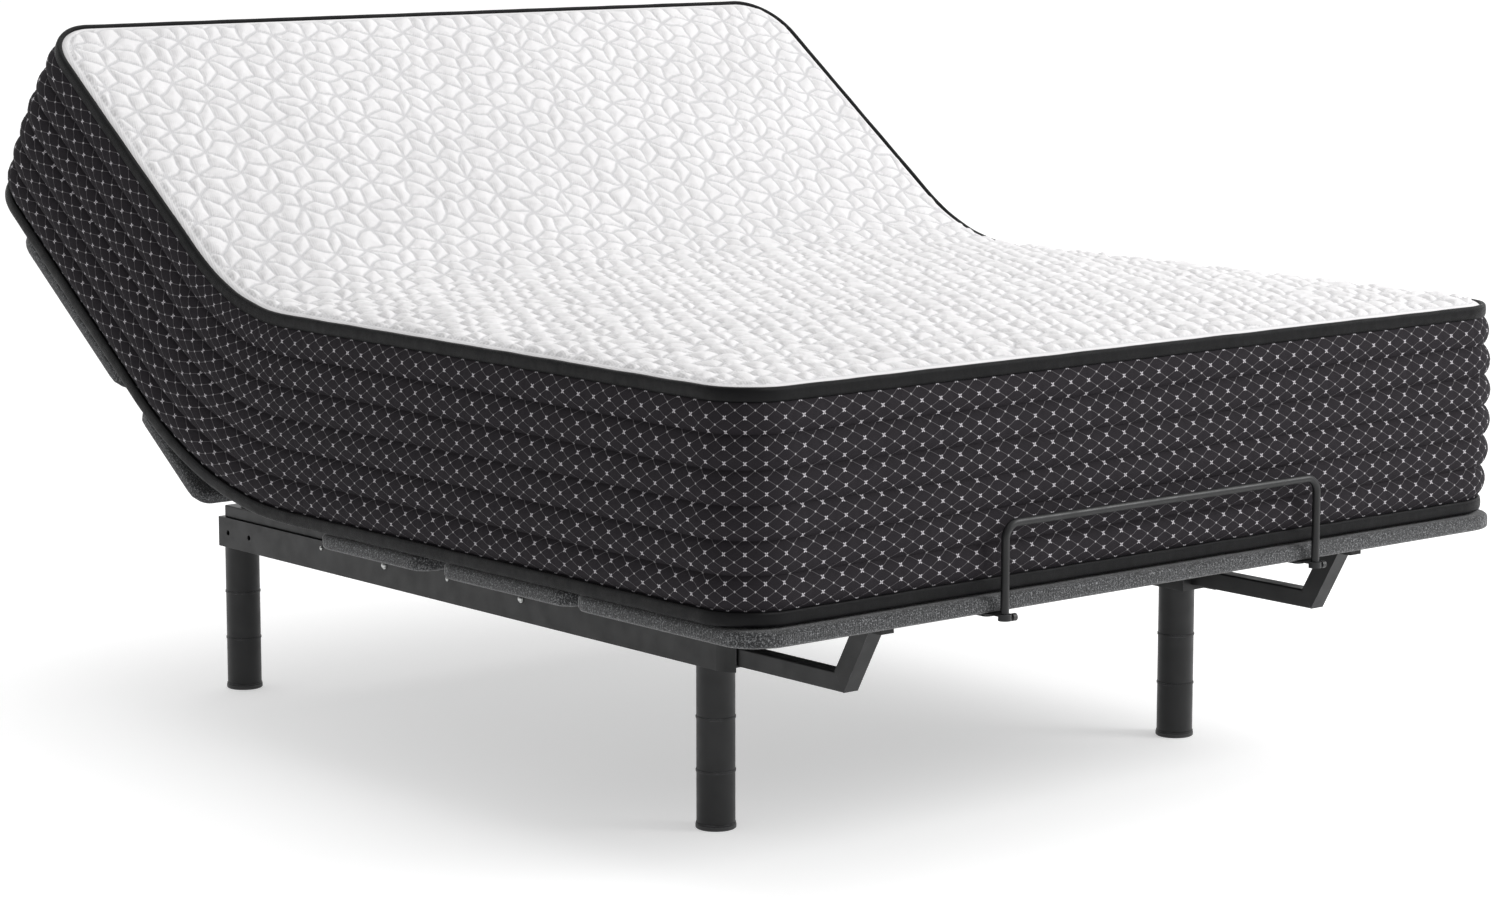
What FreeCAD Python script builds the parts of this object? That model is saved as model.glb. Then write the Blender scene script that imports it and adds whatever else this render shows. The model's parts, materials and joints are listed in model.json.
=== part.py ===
import FreeCAD, Part
import math
import os
from FreeCAD import Vector

os.makedirs("parts", exist_ok=True)

# Adjustable bed base with its mattress. Millimetres, +X right, +Y towards the head end, +Z up.
# Lengths along the bed ("y" below) are counted from the foot edge of the deck with every section flat.
# The stored pose has the head section raised and the leg sections flat.
# At the end everything is shifted along Y, so that the origin is the middle of the footprint, on the floor.

# Driving dimensions
DECK_WIDTH = 1524.0            # a standard queen-size base
DECK_LENGTH = 2065.0
PANEL_THICKNESS = 25.0         # board with its padding and cover
PANEL_BOTTOM = 362.0           # height of the underside of the deck above the floor
PANEL_CORNER = 62.0            # plan radius of the panel corners
LEG_RADIUS = 28.5
LEG_SEGMENTS = 3
GLIDE_HEIGHT = 6.0
RAIL_HEIGHT = 50.0
RAIL_WIDTH = 60.0
FRAME_WIDTH = 1010.0
FRAME_FOOT = 345.0             # y of the foot face of the frame
FRAME_HEAD = 1706.0            # y of the head face of the frame
FOOT_CROSS_Y = 470.0           # foot face of the cross rail behind the foot legs
FOOT_CROSS_SIZE = 40.0
SECTION_TUBE = 25.0            # square tube of the lifting sections
MATTRESS_THICKNESS = 320.0
MATTRESS_HALF_WIDTH = 770.0

# Motion
HEAD_REST = 35.7               # stored angle of the head section above flat, degrees
HEAD_MAX = 60.0
THIGH_MAX = 35.0
KNEE_MAX = 45.0                # fold between thigh and foot sections at full lift
FIT = 0.05                     # radial running clearance of hinge pins
SOFT_GAP = 2.0                 # space between soft solids and their neighbours
REST_GAP = 0.3                 # space between a lifting panel and the stops that it lands on

# Heights and widths that follow
RAIL_BOTTOM = 243.0
LEG_SEGMENT = (RAIL_BOTTOM - GLIDE_HEIGHT) / LEG_SEGMENTS
RAIL_TOP = RAIL_BOTTOM + RAIL_HEIGHT
UPPER_RAIL_TOP = RAIL_TOP + 20.0
HALF_FRAME = FRAME_WIDTH / 2
HALF_DECK = DECK_WIDTH / 2
RAIL_INNER = HALF_FRAME - RAIL_WIDTH
PANEL_TOP = PANEL_BOTTOM + PANEL_THICKNESS
PIN_Z = PANEL_BOTTOM - SECTION_TUBE
PIN_RADIUS = 6.0
EAR_RADIUS = 14.0
PLATE = 6.0                    # thickness of ears, brackets and links
MATTRESS_BOTTOM = PANEL_TOP + SOFT_GAP
MATTRESS_TOP = MATTRESS_BOTTOM + MATTRESS_THICKNESS

# Hinge lines: y of each pin
HEAD_HINGE = 1353.0
THIGH_HINGE = 731.0
KNEE_HINGE = 397.0

# Side planes of the section tubes: inner face x
WIDE_ARM = 417.5               # head and thigh sections
NARROW_ARM = 377.5             # foot section, inside the thigh section's arms

# Posts that the head section lands on
POST_FOOT = 1588.0
POST_HEAD = 1661.0
POST_TOP = 352.0

# Holes for a headboard bracket, in each rail
HEADBOARD_HOLE_Z = 268.0
HEADBOARD_HOLE_RADIUS = 4.5
HEADBOARD_SPACING = 64.0
HEADBOARD_CENTRE = 1645.5

# Mattress retainer bar
RETAINER_HALF = 315.0
RETAINER_Y = -14.0
RETAINER_TOP = 489.0
RETAINER_FOOT = 355.0
RETAINER_ROD = 6.0             # radius
RETAINER_BEND = 22.0

# Outriggers: the arms' side planes, and where they meet the rails
OUTRIGGER_INSIDE = 462.0
OUTRIGGER_OUTSIDE = 489.0
OUTRIGGER_END = FRAME_FOOT + 36.0
STRUT_LEAN = 0.565             # towards the foot end, for each unit of height

# Legs
LEG_X = 474.0
LEG_FOOT_Y = 424.0
LEG_HEAD_Y = 1683.0

# Actuators: pivot on the frame, and crank pin of the section that each one lifts
ACTUATOR_X = 150.0
PIVOT_Z = 268.0
HEAD_PIVOT_Y = 890.0
FOOT_PIVOT_Y = 1225.0
CRANK_LENGTH = 80.0
HEAD_CRANK_FLAT = -20.0        # crank's lean from straight down when flat, towards the head end
FOOT_CRANK_FLAT = -15.0        # the same towards the foot end
ROD_RADIUS = 11.0
OUTER_TUBE_END = 320.0         # from the pivot along the actuator
EYE_RADIUS = 15.0

HEAD_CRANK_TUBE = HEAD_HINGE + 32                      # y of the tube that carries the head crank
THIGH_CRANK_TUBE = THIGH_HINGE - 32 - SECTION_TUBE     # and of the thigh crank's

# Foot section's link bars
LINK_PIVOT = (699.0, 280.0)    # y, z of the pin on the rail
LINK_LUG_Y = 277.0             # y of the lug on the foot section

# Mattress: it bends in slices over the hinges. Each bend is two chain hinges a little below the pins.
HEAD_BEND_LENGTH = 225.0
HEAD_BEND_Z = PIN_Z - 31.0
HEAD_BEND_FOOT = HEAD_HINGE - HEAD_BEND_LENGTH / 2
HEAD_BEND_HEAD = HEAD_HINGE + HEAD_BEND_LENGTH / 2
HIP_BEND_LENGTH = 150.0
HIP_BEND_Z = PIN_Z - 12.5
HIP_BEND_FOOT = THIGH_HINGE - HIP_BEND_LENGTH / 2
HIP_BEND_HEAD = THIGH_HINGE + HIP_BEND_LENGTH / 2
HEAD_CUT = 15.2                # slope of the slice faces at the head bend, degrees
HIP_CUT = 9.0                  # and at the hip bend
MATTRESS_FOOT = 12.0
MATTRESS_HEAD = 2063.0         # with the bed flat
SHOULDER_END = 1690.0          # where the part above the bend can creep along the panel
CREEP = 110.0                  # how far it has crept towards the head at the stored angle


def box(x0, x1, y0, y1, z0, z1):
    """Block between two corners."""
    return Part.makeBox(x1 - x0, y1 - y0, z1 - z0, Vector(x0, y0, z0))


def round_edges(solid, along, radius):
    """Rounds every straight edge that runs parallel to the direction."""
    edges = [e for e in solid.Edges if abs(e.tangentAt(e.FirstParameter).dot(along)) > 0.9999]
    return solid.makeFillet(radius, edges)


def tube(x0, x1, y0, y1, z0, z1, axis, radius=3.0, wall=2.0):
    """Rectangular hollow section whose open ends face along the axis 'x', 'y' or 'z'."""
    along = {"x": Vector(1, 0, 0), "y": Vector(0, 1, 0), "z": Vector(0, 0, 1)}[axis]
    outer = round_edges(box(x0, x1, y0, y1, z0, z1), along, radius)
    gap = [0.0 if letter == axis else wall for letter in "xyz"]
    inner = box(x0 + gap[0], x1 - gap[0], y0 + gap[1], y1 - gap[1], z0 + gap[2], z1 - gap[2])
    return outer.cut(inner)


def rod(x0, x1, y, z, radius):
    """Round bar along X."""
    return Part.makeCylinder(radius, x1 - x0, Vector(x0, y, z), Vector(1, 0, 0))


def profile(points, x0, x1):
    """Closed outline of (y, z) points, extruded from x0 to x1."""
    corners = [Vector(x0, y, z) for y, z in points]
    face = Part.Face(Part.makePolygon(corners + corners[:1]))
    return face.extrude(Vector(x1 - x0, 0, 0))


def mirror(shape):
    """The same shape on the other side of the bed."""
    return shape.mirror(Vector(0, 0, 0), Vector(1, 0, 0))


def pair(shape):
    """A shape and its twin on the other side, as separate solids."""
    return Part.Compound([shape, mirror(shape)])


def turn(shape, y, z, degrees):
    """A copy turned about a line along X through (y, z); positive lifts the head side."""
    turned = shape.copy()
    turned.rotate(Vector(0, y, z), Vector(1, 0, 0), degrees)
    return turned


def turn_point(y, z, centre_y, centre_z, degrees):
    """The place of one point after the same turn."""
    a = math.radians(degrees)
    dy, dz = y - centre_y, z - centre_z
    return centre_y + dy * math.cos(a) - dz * math.sin(a), centre_z + dy * math.sin(a) + dz * math.cos(a)


def ear(x0, x1, y, z, reach, height, hole):
    """Plate with a rounded, drilled end at (y, z), reaching away along Y and up or down along Z."""
    low, high = sorted((y, y + reach))
    bottom, top = sorted((z, z + height))
    plate = box(x0, x1, low, high, bottom, top).fuse(rod(x0, x1, y, z, EAR_RADIUS))
    return plate.cut(rod(x0 - 1, x1 + 1, y, z, hole)).removeSplitter()


def bolt(x, y, z, head_radius, length):
    """Dome-headed bolt seated on an outer side face, pointing outward along +X."""
    washer = Part.makeCylinder(head_radius, 1.2, Vector(x, y, z), Vector(1, 0, 0))
    dome = Part.makeSphere(head_radius, Vector(x + length - head_radius, y, z))
    dome = dome.common(rod(x + 1.2, x + length, y, z, head_radius * 0.8))
    return washer.fuse(dome)


# Frame

def side_rail():
    """Right side rail: a box section whose foot corner is rounded in plan, with two headboard holes.
    Its foot end is cut back round the outrigger."""
    wall, corner = 2.0, 40.0
    outer = box(RAIL_INNER, HALF_FRAME, FRAME_FOOT, FRAME_HEAD, RAIL_BOTTOM, RAIL_TOP)
    foot_corner = [
        e for e in outer.Edges
        if abs(e.tangentAt(e.FirstParameter).z) > 0.99
        and e.CenterOfMass.x > HALF_FRAME - 1 and e.CenterOfMass.y < FRAME_FOOT + 1
    ]
    outer = outer.makeFillet(corner, foot_corner)
    inner = box(
        RAIL_INNER + wall, HALF_FRAME - wall, FRAME_FOOT + corner + wall,
        FRAME_HEAD, RAIL_BOTTOM + wall, RAIL_TOP - wall,
    )
    notch_end = box(
        RAIL_INNER - 1, OUTRIGGER_OUTSIDE + 3, FRAME_FOOT - 1, OUTRIGGER_END, RAIL_BOTTOM - 1, RAIL_TOP - 6)
    rail = outer.cut(inner).cut(notch_end)
    drill_from, drill_to = HALF_FRAME - 2 * wall, HALF_FRAME + 1
    for y in headboard_holes():
        rail = rail.cut(rod(drill_from, drill_to, y, HEADBOARD_HOLE_Z, HEADBOARD_HOLE_RADIUS))
    return rail


def headboard_holes():
    """y of the two holes that a headboard bracket bolts to."""
    return [HEADBOARD_CENTRE - HEADBOARD_SPACING / 2, HEADBOARD_CENTRE + HEADBOARD_SPACING / 2]


def frame_nodes():
    """Rails, cross tubes, outriggers and the small parts fixed to them."""
    rail = side_rail()
    upper = tube(460, 500, FRAME_FOOT + 45, 1693, RAIL_TOP, UPPER_RAIL_TOP, "y", 2.0, 1.5)
    foot_cross = tube(
        -RAIL_INNER, RAIL_INNER, FOOT_CROSS_Y, FOOT_CROSS_Y + FOOT_CROSS_SIZE,
        RAIL_BOTTOM, RAIL_BOTTOM + FOOT_CROSS_SIZE, "x")
    head_cross = tube(
        -RAIL_INNER, RAIL_INNER, FRAME_HEAD - 60, FRAME_HEAD - 10, RAIL_BOTTOM, RAIL_TOP, "x")
    inset = 2.5
    cap = box(
        RAIL_INNER + inset, HALF_FRAME - inset, FRAME_HEAD - 6, FRAME_HEAD,
        RAIL_BOTTOM + inset, RAIL_TOP - inset)
    bolts = [bolt(HALF_FRAME, y, 278, 6.0, 5.0) for y in (854, 1218)]
    bolts += [bolt(HALF_FRAME, y, 281, 3.5, 3.0) for y in (1046, 1397)]
    nodes = {
        "side_rail_right": rail,
        "side_rail_left": mirror(rail),
        "upper_rails": pair(upper),
        "foot_cross_rail": foot_cross,
        "head_cross_rail": head_cross,
        "rail_end_caps": pair(cap),
        "rail_bolts": pair(Part.Compound(bolts)),
    }
    nodes.update(outrigger_nodes())
    return nodes


def outrigger_nodes():
    """Two arms that reach out under the foot section and carry its end when it lies flat."""
    x0, x1 = OUTRIGGER_INSIDE, OUTRIGGER_OUTSIDE
    low, high, strut_top = 251.0, 279.0, 345.0
    toe, heel = 126.0, 145.0
    tip = toe - (strut_top - low) * STRUT_LEAN
    arm_outline = [(toe, low), (heel, high), (OUTRIGGER_END, high), (OUTRIGGER_END, low)]
    outrigger = profile(arm_outline, x0, x1)
    strut_back = heel - (strut_top - high) * STRUT_LEAN
    strut = profile([(toe, low), (tip, strut_top), (strut_back, strut_top), (heel, high)], x0, x1)
    foot_pad = box(x0, x1, tip - 24, tip + 30, strut_top, PANEL_BOTTOM - REST_GAP)
    head_pad = box(468, 492, POST_FOOT, POST_HEAD, POST_TOP, PANEL_BOTTOM - REST_GAP)
    pads = [round_edges(pad, Vector(0, 0, 1), 4.0) for pad in (foot_pad, head_pad)]
    return {
        "outrigger_arms": pair(round_edges(outrigger, Vector(0, 1, 0), 3.0)),
        "outrigger_struts": pair(strut),
        "deck_bumpers": Part.Compound(pads + [mirror(pad) for pad in pads]),
    }


def leg(x, y):
    """One leg: three stacked round segments, each with a raised ring at its lower end."""
    segments = []
    for i in range(LEG_SEGMENTS):
        bottom = GLIDE_HEIGHT + i * LEG_SEGMENT
        body = Part.makeCylinder(LEG_RADIUS, LEG_SEGMENT, Vector(x, y, bottom))
        ring = Part.makeCylinder(LEG_RADIUS + 1.0, 3.0, Vector(x, y, bottom))
        bore = Part.makeCylinder(LEG_RADIUS - 2.5, LEG_SEGMENT, Vector(x, y, bottom))
        segments.append(body.fuse(ring).cut(bore).removeSplitter())
    return Part.Compound(segments)


def leg_nodes():
    """Four legs and their glides."""
    nodes, glides = {}, []
    for end, y in (("foot", LEG_FOOT_Y), ("head", LEG_HEAD_Y)):
        for side, x in (("left", -LEG_X), ("right", LEG_X)):
            nodes[f"leg_{end}_{side}"] = leg(x, y)
            glide = Part.makeCylinder(LEG_RADIUS + 1.5, GLIDE_HEIGHT, Vector(x, y, 0))
            rim = [e for e in glide.Edges if e.CenterOfMass.z < 0.1 and len(e.Vertexes) == 1]
            glides.append(glide.makeChamfer(1.5, rim))
    nodes["leg_glides"] = Part.Compound(glides)
    return nodes


# Deck panels

def panel(half_width, y0, y1, corner_ends):
    """Padded board with rounded plan corners at the named ends and a soft top and bottom edge."""
    slab = box(-half_width, half_width, y0, y1, PANEL_BOTTOM, PANEL_TOP)
    for end, radius in corner_ends.items():
        y = y0 if end == "foot" else y1
        edges = [
            e for e in slab.Edges
            if abs(e.tangentAt(e.FirstParameter).z) > 0.99 and abs(e.CenterOfMass.y - y) < 0.1
        ]
        slab = slab.makeFillet(radius, edges)
    top = [e for e in slab.Edges if abs(e.CenterOfMass.z - PANEL_TOP) < 0.1]
    return slab.makeFillet(6.0, top)


def fixed_deck_nodes():
    """Seat and lumbar panels on their cross tubes and posts, and the parts hung under them."""
    seat = panel(HALF_DECK, 750, 1029, {"foot": 30, "head": 30})
    lumbar = panel(470, 1042, 1320, {"foot": 20, "head": 20})
    tube_x = 500.0
    tubes, posts = [], []
    for y in (765, 990, 1060, 1285):
        tubes.append(tube(-tube_x, tube_x, y, y + SECTION_TUBE, PIN_Z, PANEL_BOTTOM, "x"))
        post = tube(470, 490, y + 2.5, y + 22.5, UPPER_RAIL_TOP, PIN_Z, "z")
        posts += [post, mirror(post)]
    return {
        "seat_panel": seat,
        "lumbar_panel": lumbar,
        "deck_cross_tubes": Part.Compound(tubes),
        "deck_posts": Part.Compound(posts),
    }


def hinge_nodes():
    """Brackets on the rails, their pins, and the posts that the head section lands on."""
    x0 = WIDE_ARM + SECTION_TUBE + PLATE + 1.0
    x1 = x0 + PLATE
    foot_plate = ear(x0, x1, THIGH_HINGE, PIN_Z, EAR_RADIUS, RAIL_TOP - PIN_Z, PIN_RADIUS)
    foot_plate = foot_plate.fuse(
        box(x0, x1, THIGH_HINGE - EAR_RADIUS, THIGH_HINGE, RAIL_TOP, PIN_Z - EAR_RADIUS))
    head_plate = foot_plate.copy()
    head_plate.translate(Vector(0, HEAD_HINGE - THIGH_HINGE, 0))
    pin_start = WIDE_ARM + SECTION_TUBE + 0.5
    pins = []
    for y in (THIGH_HINGE, HEAD_HINGE):
        pin = rod(pin_start, x1, y, PIN_Z, PIN_RADIUS).fuse(rod(x1, x1 + 4, y, PIN_Z, PIN_RADIUS + 4))
        pins += [pin, mirror(pin)]
    post = tube(470, 490, POST_FOOT, POST_HEAD, UPPER_RAIL_TOP, POST_TOP, "z")
    link_pin = rod(419, RAIL_INNER, LINK_PIVOT[0], LINK_PIVOT[1], 7.0)
    return {
        "hinge_brackets": Part.Compound([foot_plate, mirror(foot_plate), head_plate, mirror(head_plate)]),
        "hinge_pins": Part.Compound(pins),
        "head_rest_posts": pair(post),
        "link_pins": pair(link_pin),
    }


# Lifting sections, drawn flat

def arm(x0, y0, y1):
    """Section tube running along the bed."""
    return tube(x0, x0 + SECTION_TUBE, y0, y1, PIN_Z, PANEL_BOTTOM, "y")


def crank(x, hinge_y, tube_y, lean, toward_head):
    """Two crank plates under a section, either side of the actuator's eye."""
    side = 1 if toward_head else -1
    a = math.radians(lean)
    tip = (hinge_y + side * CRANK_LENGTH * math.sin(a), PIN_Z - CRANK_LENGTH * math.cos(a))
    low, high = tube_y + 2, tube_y + SECTION_TUBE - 2
    root = sorted((low, high), key=lambda y: abs(y - hinge_y))
    outline = [
        (root[0], PANEL_BOTTOM - 2), (root[1], PANEL_BOTTOM - 2), (root[1], PIN_Z),
        (tip[0] + side * 15, tip[1]), (tip[0] - side * 15, tip[1]),
    ]
    plates = []
    for x0 in (x - 18, x + 12):
        plate = profile(outline, x0, x0 + PLATE)
        boss = rod(x0, x0 + PLATE, tip[0], tip[1], EYE_RADIUS)
        plates.append(plate.fuse(boss).removeSplitter())
    return Part.Compound(plates)


def cross_tube(half, y):
    """Square tube across a section."""
    return tube(-half, half, y, y + SECTION_TUBE, PIN_Z, PANEL_BOTTOM, "x")


def head_section_nodes():
    """Head section, drawn flat; the caller raises it."""
    side = arm(WIDE_ARM, HEAD_HINGE - 12, 2040)
    outside = WIDE_ARM + SECTION_TUBE
    side_ear = ear(outside, outside + PLATE, HEAD_HINGE, PIN_Z, 60, SECTION_TUBE, PIN_RADIUS + FIT)
    side = side.fuse(side_ear).removeSplitter()
    tubes = [cross_tube(WIDE_ARM, y) for y in (HEAD_CRANK_TUBE, 1626, 2000)]
    return {
        "head_section_arms": pair(side),
        "head_section_tubes": Part.Compound(tubes),
        "head_crank": notch(crank(ACTUATOR_X, HEAD_HINGE, HEAD_CRANK_TUBE, HEAD_CRANK_FLAT, True), tubes[0]),
        "head_lower_panel": panel(HALF_DECK - 4, HEAD_HINGE + 37, 1612, {"foot": 30, "head": 30}),
        "head_upper_panel": panel(HALF_DECK, 1664, DECK_LENGTH, {"foot": 30, "head": PANEL_CORNER}),
    }


def notch(plates, crossing):
    """Crank plates cut to fit under and around the tube that they are welded to."""
    block = crossing.BoundBox
    room = box(block.XMin, block.XMax, block.YMin, block.YMax, block.ZMin, block.ZMax)
    return Part.Compound([plate.cut(room) for plate in plates.Solids])


def thigh_section_nodes():
    """Thigh section, drawn flat, with the pins of the knee hinge."""
    outside = WIDE_ARM + SECTION_TUBE
    side = arm(WIDE_ARM, KNEE_HINGE + 3, THIGH_HINGE + 12)
    seat_ear = ear(outside, outside + PLATE, THIGH_HINGE, PIN_Z, -60, SECTION_TUBE, PIN_RADIUS + FIT)
    knee_ear = ear(WIDE_ARM - PLATE, WIDE_ARM, KNEE_HINGE, PIN_Z, 50, SECTION_TUBE, PIN_RADIUS)
    side = side.fuse(seat_ear).fuse(knee_ear).removeSplitter()
    knee_pin = rod(NARROW_ARM + SECTION_TUBE + 0.5, WIDE_ARM, KNEE_HINGE, PIN_Z, PIN_RADIUS)
    tubes = [cross_tube(WIDE_ARM, y) for y in (THIGH_CRANK_TUBE, 450)]
    thigh_crank = crank(-ACTUATOR_X, THIGH_HINGE, THIGH_CRANK_TUBE, FOOT_CRANK_FLAT, False)
    return {
        "thigh_section_arms": pair(side),
        "thigh_section_tubes": Part.Compound(tubes),
        "thigh_crank": notch(thigh_crank, tubes[0]),
        "knee_hinge_pins": pair(knee_pin),
        "thigh_panel": panel(HALF_DECK, 400, 713, {"foot": 30, "head": 30}),
    }


def foot_section_nodes():
    """Foot section, drawn flat, with the mattress retainer bar."""
    outside = NARROW_ARM + SECTION_TUBE
    first_tube = 112
    side = arm(NARROW_ARM, first_tube, KNEE_HINGE + 3)
    knee_ear = ear(outside, outside + PLATE, KNEE_HINGE, PIN_Z, -60, SECTION_TUBE, PIN_RADIUS + FIT)
    lug = rod(outside, 419, LINK_LUG_Y, PIN_Z, 12.0)
    lug = lug.fuse(box(outside, outside + PLATE, LINK_LUG_Y - 15, LINK_LUG_Y + 15, PIN_Z, PANEL_BOTTOM))
    side = side.fuse(knee_ear).fuse(lug).removeSplitter()
    tubes = [cross_tube(NARROW_ARM, y) for y in (first_tube, 320)]
    nodes = {
        "foot_section_arms": pair(side),
        "foot_section_tubes": Part.Compound(tubes),
        "foot_panel": panel(HALF_DECK, 0, 393, {"foot": PANEL_CORNER, "head": 30}),
    }
    nodes.update(retainer_nodes())
    return nodes


def retainer_nodes():
    """Bent rod that stops the mattress sliding off the foot end, its two brackets and thumbscrews."""
    corner_x, corner_z = RETAINER_HALF - RETAINER_BEND, RETAINER_TOP - RETAINER_BEND
    half = math.sqrt(0.5) * RETAINER_BEND
    points = {
        "foot": Vector(RETAINER_HALF, RETAINER_Y, RETAINER_FOOT),
        "up": Vector(RETAINER_HALF, RETAINER_Y, corner_z),
        "mid": Vector(corner_x + half, RETAINER_Y, corner_z + half),
        "over": Vector(corner_x, RETAINER_Y, RETAINER_TOP),
    }
    left = {name: Vector(-p.x, p.y, p.z) for name, p in points.items()}
    path = Part.Wire([
        Part.LineSegment(points["foot"], points["up"]).toShape(),
        Part.Arc(points["up"], points["mid"], points["over"]).toShape(),
        Part.LineSegment(points["over"], left["over"]).toShape(),
        Part.Arc(left["over"], left["mid"], left["up"]).toShape(),
        Part.LineSegment(left["up"], left["foot"]).toShape(),
    ])
    ring = Part.Wire(Part.Circle(points["foot"], Vector(0, 0, 1), RETAINER_ROD).toShape())
    bar = path.makePipeShell([ring], True, True)
    plate_top, plate_thickness, half_plate = PANEL_BOTTOM, 3.0, 24.0
    boss_radius, boss_height = 9.5, 6.0
    plate = box(
        RETAINER_HALF - half_plate, RETAINER_HALF + half_plate, -2, 58, plate_top - plate_thickness, plate_top)
    plate = round_edges(plate, Vector(0, 0, 1), 8.0)
    lug = box(
        RETAINER_HALF - boss_radius, RETAINER_HALF + boss_radius, RETAINER_Y, 6,
        plate_top - plate_thickness, plate_top)
    boss_bottom = Vector(RETAINER_HALF, RETAINER_Y, plate_top - plate_thickness - boss_height)
    socket = Part.makeCylinder(boss_radius, boss_height + plate_thickness, boss_bottom)
    bracket = plate.fuse([lug, socket]).removeSplitter()
    bracket = bracket.cut(Part.makeCylinder(RETAINER_ROD, 60, Vector(RETAINER_HALF, RETAINER_Y, 330)))
    knob_z = plate_top - plate_thickness - boss_height / 2
    shank = rod(RETAINER_HALF + boss_radius - 0.1, RETAINER_HALF + 13, RETAINER_Y, knob_z, 2.0)
    grip = rod(RETAINER_HALF + 13, RETAINER_HALF + 20, RETAINER_Y, knob_z, 5.5)
    knob = shank.fuse(grip).cut(socket)
    spread = Vector(-2 * RETAINER_HALF, 0, 0)
    other_bracket, other_knob = bracket.copy(), knob.copy()
    other_bracket.translate(spread)
    other_knob.translate(spread)
    return {
        "retainer_bar": Part.Solid(bar) if bar.ShapeType == "Shell" else bar,
        "retainer_brackets": Part.Compound([bracket, other_bracket]),
        "retainer_knobs": Part.Compound([knob, other_knob]),
    }


def link_node():
    """Two flat bars from the rails to the foot section; they keep it nearly level as the knees rise."""
    y0, z0 = LINK_PIVOT
    dy, dz = LINK_LUG_Y - y0, PIN_Z - z0
    length = math.hypot(dy, dz)
    x0, x1 = 421.0, 427.0
    bar = box(x0, x1, y0 - length, y0, z0 - 11, z0 + 11)
    bar = bar.fuse(rod(x0, x1, y0, z0, EAR_RADIUS)).fuse(rod(x0, x1, y0 - length, z0, EAR_RADIUS))
    bar = bar.cut(rod(x0 - 1, x1 + 1, y0, z0, 7.0 + FIT)).removeSplitter()
    slope = math.degrees(math.atan2(dz, -dy))
    return {"foot_links": pair(turn(bar, y0, z0, -slope))}


# Drive

def crank_tip(hinge_y, flat_lean, lift, toward_head):
    """Where the crank's eye is when its section is lifted by some angle."""
    side = 1 if toward_head else -1
    a = math.radians(flat_lean + lift)
    return hinge_y + side * CRANK_LENGTH * math.sin(a), PIN_Z - CRANK_LENGTH * math.cos(a)


def actuator_line(pivot_y, tip):
    """Length and upward slope in degrees from an actuator's pivot to a crank's eye."""
    run, rise = abs(tip[0] - pivot_y), tip[1] - PIVOT_Z
    return math.hypot(run, rise), math.degrees(math.atan2(rise, run))


def actuator_shapes(x, length):
    """Gear housing, motor, outer tube and rod, drawn along +Y from a pivot at y 0."""
    z = PIVOT_Z
    housing = round_edges(box(x - 32, x + 32, 20, 78, z - 23, z + 23), Vector(0, 1, 0), 9.0)
    tail = rod(x - 9, x + 9, 0, z, 13).fuse(box(x - 9, x + 9, 0, 20, z - 13, z + 13))
    tail = tail.cut(rod(x - 10, x + 10, 0, z, PIN_RADIUS + FIT))
    housing = housing.fuse(tail).removeSplitter()
    inward = -1 if x > 0 else 1
    motor = Part.makeCylinder(22, 88, Vector(x + inward * 32, 49, z), Vector(inward, 0, 0))
    cap = Part.makeCylinder(18, 10, Vector(x + inward * 120, 49, z), Vector(inward, 0, 0))
    motor = motor.fuse(cap).removeSplitter()
    forward = Vector(0, 1, 0)
    outer = Part.makeCylinder(17, OUTER_TUBE_END - 78, Vector(x, 78, z), forward)
    collar = Part.makeCylinder(19, 16, Vector(x, OUTER_TUBE_END - 16, z), forward)
    bore = Part.makeCylinder(ROD_RADIUS + REST_GAP, OUTER_TUBE_END - 90, Vector(x, 91, z), forward)
    outer = outer.fuse(collar).cut(bore).removeSplitter()
    inner = Part.makeCylinder(ROD_RADIUS, length - 10 - 240, Vector(x, 240, z), forward)
    eye = rod(x - 8, x + 8, length, z, EYE_RADIUS - 2)
    inner = inner.fuse(eye).cut(rod(x - 9, x + 9, length, z, PIN_RADIUS)).removeSplitter()
    return {"housing": housing, "motor": motor, "tube": outer, "rod": inner}


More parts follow.
